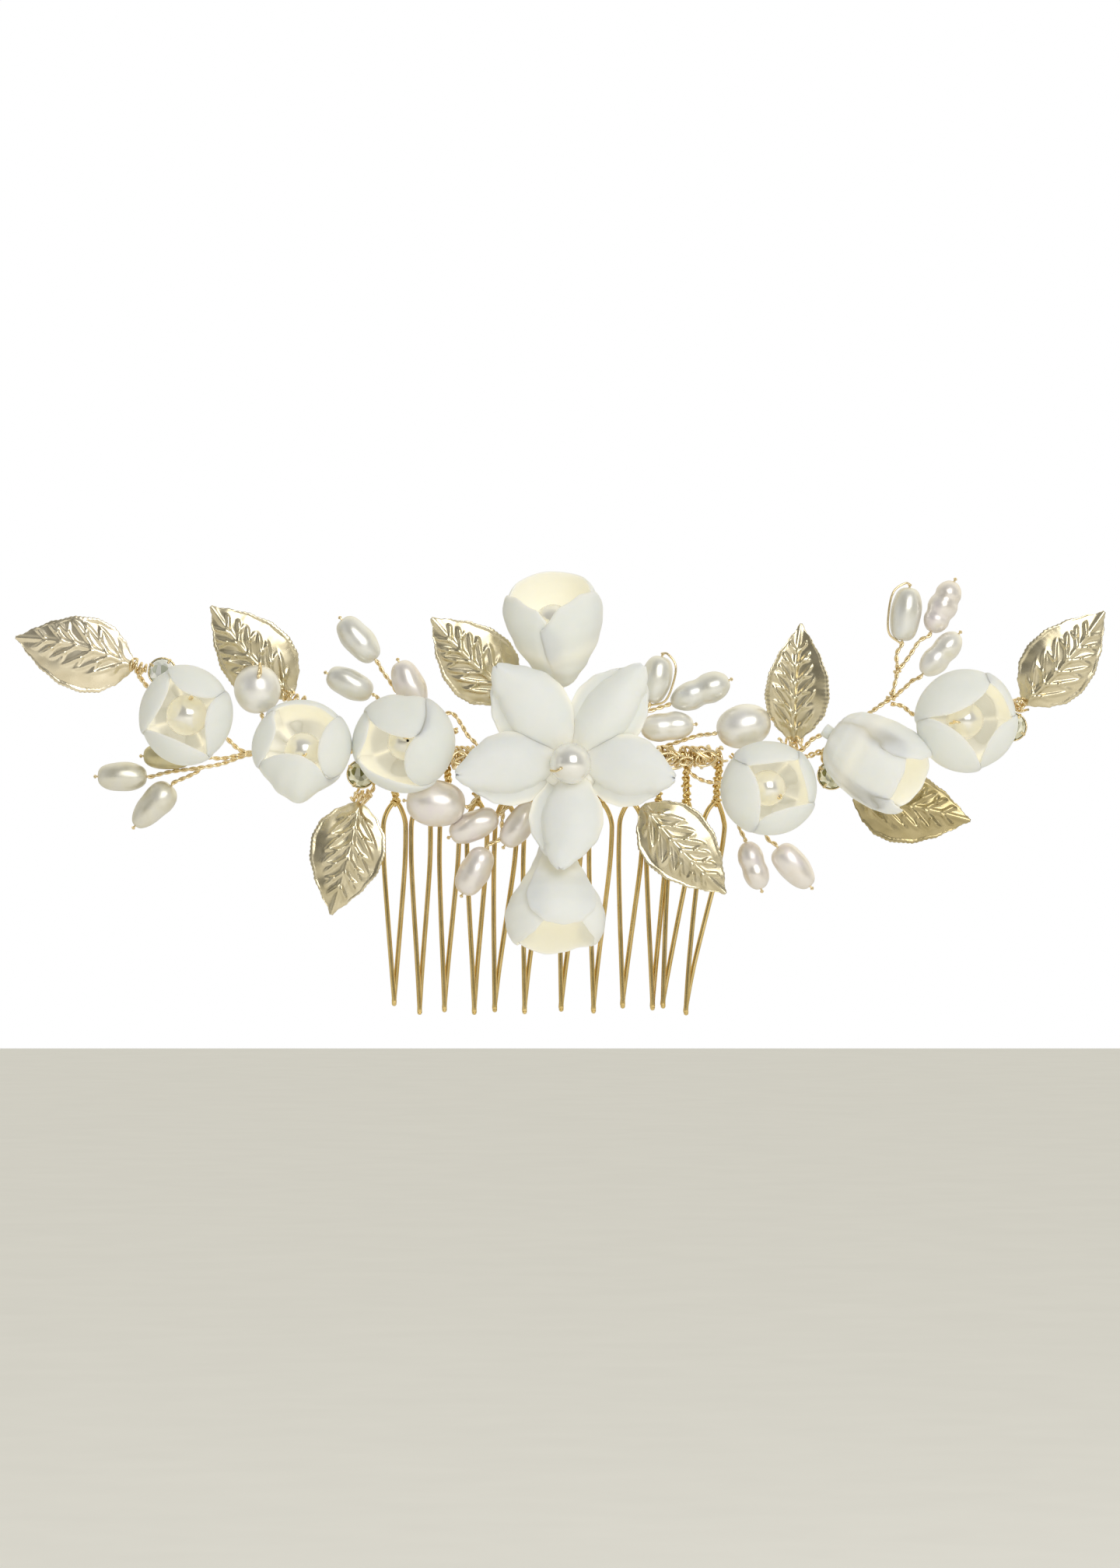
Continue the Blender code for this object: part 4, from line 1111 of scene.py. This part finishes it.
def right_vine():
    strands = []
    strands += twisted([(28.5, 0.3, 8.7), (31.0, 0.3, 6.2), (34.1, 0.2, 4.4), (37.4, 0.0, 6.6),
                        (39.75, -0.2, 8.0), (43.5, -0.6, 9.4), (45.4, -0.4, 10.0)], 0.42, 2.4, 0.30, 2)
    strands += twisted([(37.6, 0.0, 8.4), (40.1, -0.3, 9.6), (41.6, -0.6, 11.2),
                        (44.25, -1.6, 12.4)], 0.40, 2.4)
    strands += branch("15", [(17.0, 0.0, 9.8), (20.1, -0.9, 10.8), (23.2, -1.6, 11.8)])
    strands += branch("16", [(33.4, 0.2, 4.6), (30.6, -0.4, 0.6), (29.8, -1.2, -2.6)])
    strands += branch("17", [(34.4, 0.2, 4.5), (33.3, -0.4, -1.4), (34.4, -1.4, -4.8)])
    strands += twisted([(21.4, -0.5, 6.3), (22.9, -0.7, 5.1), (24.5, -0.7, 4.4),
                        (26.5, -0.6, 4.2), (29.6, 0.2, 4.4)])
    strands += twisted([(38.2, 0.1, 7.4), (38.4, -0.2, 10.6)])
    strands += twisted([(43.0, -0.4, 9.5), (43.4, 0.2, 7.6), (44.2, 0.6, 6.0)])
    strands += twisted([(46.0, -0.2, 10.4), (50.2, 0.8, 14.8), (52.1, 0.2, 16.3),
                        (54.4, -0.2, 17.9)], 0.40, 2.4)
    strands += twisted([(54.3, -0.2, 16.9), (56.2, 0.0, 16.5), (57.9, 0.1, 15.2), (61.0, 0.3, 14.6),
                        (65.7, 0.2, 14.2)], 0.38, 2.4)
    strands += twisted([(65.7, 0.2, 14.2), (70.0, 0.6, 15.0), (73.4, 0.2, 15.8), (75.6, 0.0, 16.8)])
    strands += branch("18", [(54.4, -0.2, 17.9), (54.9, -0.4, 20.2), (55.3, -0.8, 22.4),
                             (55.1, -1.2, 24.8)], loop=1)
    strands += branch("19", [(55.4, -0.9, 22.2), (57.2, -1.2, 24.6), (58.8, -1.4, 27.0)])
    strands += branch("20", [(54.6, -0.2, 17.9), (56.6, -0.9, 19.6), (57.6, -1.3, 20.6)])
    strands += twisted([(71.0, 0.6, 15.2), (72.4, 0.6, 14.0), (73.6, 0.0, 13.2)])
    strands += twisted([(46.4, 1.1, 11.6), (47.4, 2.4, 6.0), (48.2, 2.2, 2.6)])
    strands += [coil((36.3, -0.7, 10.6), (40.2, -0.7, 11.2), 0.70, 3.0, 0.44, 0.3, KNOT),
                coil((37.6, -0.7, 9.6), (39.9, -0.7, 10.6), 0.80, 2.4, 0.44, 1.9, KNOT),
                coil((53.9, -0.4, 17.4), (54.9, -0.4, 18.6), 0.62, 1.8, 0.38, 0.5, KNOT),
                coil((55.1, -0.8, 21.7), (55.6, -0.8, 22.9), 0.48, 1.6, 0.36, 0.5, KNOT),
                coil((73.2, -0.4, 15.6), (75.6, -0.5, 17.4), 0.85, 3.6, 0.42, 0.2, KNOT),
                coil((74.4, -0.5, 17.8), (75.8, -0.5, 15.6), 0.70, 2.4, 0.42, 1.1, KNOT)]
    wires("right_vine_twist", strands, craft_gold, ["vine_wire_right"])


# ---- the comb ----

# x of the top, the tip and both shoulders, and the height of the tip.
TEETH = (
    (-25.5, -25.7, -27.4, -23.9, -31.4), (-21.4, -21.6, -22.9, -19.9, -32.8),
    (-16.8, -17.6, -18.3, -15.3, -32.4), (-12.3, -12.8, -13.9, -10.8, -32.8),
    (-7.9, -9.5, -9.4, -6.0, -32.4), (-3.4, -4.7, -4.7, -1.5, -32.7),
    (2.6, 1.2, 1.2, 4.5, -32.3), (7.5, 6.4, 5.8, 9.3, -32.6),
    (12.4, 11.1, 10.6, 14.3, -31.8), (16.9, 15.9, 15.0, 18.1, -32.1),
    (21.3, 17.6, 18.9, 22.3, -31.8), (26.1, 21.3, 24.1, 27.4, -32.9),
)
COMB_WIRE = 0.80
BOW = 0.22  # how far a leg curves outwards
RAIL_HEIGHT = 8.75


def tooth(top, tip, left, right, low):
    """A hairpin whose legs lie one before the other at the closed tip."""
    depth = COMB_WIRE * 0.52

    def leg(shoulder, away, y):
        mid = (shoulder + tip) / 2
        return [(top + away * 0.42, 0.0, 0.85), (lerp(top, shoulder, 0.62), 0.0, -0.15),
                (lerp(top, shoulder, 0.94), 0.0, -1.7), (shoulder + away * 0.05, y * 0.1, -3.6),
                (lerp(shoulder, mid, 0.34) + away * BOW, y * 0.3, -9.0),
                (lerp(shoulder, tip, 0.50) + away * BOW, y * 0.6, -17.0),
                (lerp(shoulder, tip, 0.82) + away * 0.1, y * 0.9, -25.5), (tip, y, low + 1.0)]

    down = leg(left, -1, -depth)
    up = leg(right, 1, depth)
    bend = [(tip, -depth * math.cos(a), low + 0.42 - depth * math.sin(a)) for a in (0.5, 1.2, 1.94, 2.64)]
    return through([(top, 0.0, 1.0), *down, *bend, *reversed(up), (top, 0.0, 1.0)], 5), COMB_WIRE


def comb():
    wires("comb_teeth", [tooth(*data) for data in TEETH], comb_gold, ["comb_wire"])
    rail = [(-26.5, 0, RAIL_HEIGHT), (0, 0, RAIL_HEIGHT + 0.05), (27.0, 0, RAIL_HEIGHT)]
    strands = [(through(rail, 12), 0.9)]
    for k, (top, *_) in enumerate(TEETH):
        lean = 0.5 * math.sin(k * 1.9)
        strands += twisted([(top, 0.0, 0.6), (top + lean * 0.3, -0.1, 3.4), (top + lean, 0.0, 6.4),
                            (top + lean, 0.0, RAIL_HEIGHT)], 0.50, 1.9, 0.36, 2, phase=k)
        strands.append(coil((top - 0.35, 0.0, 0.7), (top + 0.35, 0.0, 1.7), 0.52, 2.2, 0.44, k, 0.1))
        for j, height in enumerate((2.5, 3.7, 4.9, 6.0)):
            x, side = top + lean * height / 6.4, 0.3 * (-1) ** j
            strands.append(coil((x - side, 0.0, height - 0.35), (x + side, 0.0, height + 0.3),
                                0.50, 1.5, 0.46, k + j * 1.7))
    wires("comb_stems", strands, comb_gold)


def rail_lashing():
    """Craft wire bound over the rail: slanting wraps both ways, with arcs and oval loops over them."""
    strands = []
    for layer, (radius, pitch, way) in enumerate(((0.90, 0.95, 1), (1.35, 1.5, -1), (1.75, 2.0, 1))):
        line = []
        x, angle = -26.2, float(layer)
        while x < 27.2:
            reach = radius * (1 + 0.16 * noise.noise(Vector((x * 0.9, layer, 0))))
            line.append((x, -reach * math.sin(angle), RAIL_HEIGHT - 0.45 + reach * math.cos(angle)))
            angle += way * math.tau / 14
            x += pitch / 14 * (1 + 0.25 * noise.noise(Vector((x * 0.5, 5.0, layer))))
        strands.append((line, 0.46))
    rng = np.random.default_rng(7)

    def some(low, high):
        return float(rng.uniform(low, high))

    for _ in range(34):
        x, across, down, y = some(-24.5, 23.5), some(2.6, 5.2), some(0.2, 1.5), some(-2.5, -1.9)
        arc = [(x, 0.6, 1.1), (x + across * 0.15, y * 0.7, 1.15), (x + across * 0.5, y, 0.0),
               (x + across * 0.85, y * 0.8, -down), (x + across, 0.6, -down)]
        strands.append((through([(x, y, RAIL_HEIGHT + z) for x, y, z in arc], 6), 0.44))
    for _ in range(26):
        x, y = some(-24.5, 25.5), some(-2.6, -2.1)
        wide, tall, lean = some(1.1, 2.3), some(0.6, 1.2), some(0.1, 0.7)
        height = RAIL_HEIGHT - 0.9 + some(-0.5, 0.8)
        oval = [(wide * math.cos(a), tall * math.sin(a)) for a in np.linspace(0.3, math.tau, 9)]
        strands.append((through([(x + u, y + 0.22 * abs(v) ** 2, height + v + u * lean * 0.5)
                                 for u, v in oval], 4), 0.44))
    wires("rail_binding", strands, craft_gold, ["rail_lashing_wire"])


# ---- room, light and camera ----


def room():
    look, graph = new_look("pale_floor")
    graph.shade({
        "Base Color": graph.greys(graph.noise(40.0), 0.90, 0.92),
        "Roughness": 0.9,
        "Specular IOR Level": 0.0,
    })
    half, depth = 3.0, -0.16
    corners = [(-half, -half, depth), (half, -half, depth), (half, half, depth), (-half, half, depth)]
    mesh = bpy.data.meshes.new("floor")
    mesh.from_pydata(corners, [], [(0, 1, 2, 3)])
    mesh.materials.append(look)
    link("floor", mesh)


def studio_world():
    """Dim towards the viewer and cream behind, for metal and nacre to mirror. The backdrop is white."""
    world = bpy.data.worlds.new("studio")
    bpy.context.scene.world = world
    world.use_nodes = True
    graph = Graph(world.node_tree)
    axes = graph.add("SeparateXYZ", {"Vector": graph.place("Generated")})
    tone = graph.ramp(graph.stretch(axes["Y"], 0.0, 1.0), (0.0, (0.20, 0.20, 0.19)),
                      (0.30, (0.34, 0.34, 0.33)), (0.55, (0.74, 0.72, 0.63)), (0.75, (0.90, 0.86, 0.72)))
    both = graph.math("MULTIPLY", graph.stretch(axes["Z"], 0.62, 1.30), graph.stretch(axes["X"], 0.72, 1.18))
    shade = graph.mix(1.0, tone, both, "MULTIPLY")
    seen = graph.add("LightPath", {})["Is Camera Ray"]
    graph.feed(graph.nodes["Background"].inputs["Color"], graph.mix(seen, shade, (1.0, 1.0, 1.0, 1.0)))


def softbox(name, place, width, height, power):
    """A soft light that points at the comb."""
    light = bpy.data.lights.new(name, "AREA")
    light.shape = "RECTANGLE"
    light.size, light.size_y = width, height
    light.energy = power
    obj = link(name, light)
    obj.location = place
    obj.rotation_euler = (-Vector(place)).to_track_quat("-Z", "Y").to_euler()
    obj.visible_camera = False


def camera():
    lens, sensor, tall = 150.0, 36.0, 0.252
    view = bpy.data.cameras.new("view")
    view.lens, view.sensor_width = lens, sensor
    view.clip_start = 0.05
    obj = link("view", view)
    obj.location = (0.001, -0.002 - tall * lens / sensor, 0.004)
    obj.rotation_euler = (math.pi / 2, 0, 0)
    bpy.context.scene.camera = obj


room()
studio_world()
softbox("key", (0.24, -0.78, 0.36), 0.50, 0.50, 3.1)
softbox("fill", (-0.7, -0.35, 0.15), 0.3, 0.5, 0.15)
bpy.context.scene.view_settings.view_transform = "Standard"
camera()

buds()
flower_right_middle()
tulip_top()
tulip_bottom()
star_flower()
leaves()
freshwater_pearls()
flower_pearls()
crystal("1", clear_stone)
for number in "234":
    crystal(number, olive_stone)
left_vine()
inner_left_vine()
centre_vine()
right_vine()
comb()
rail_lashing()
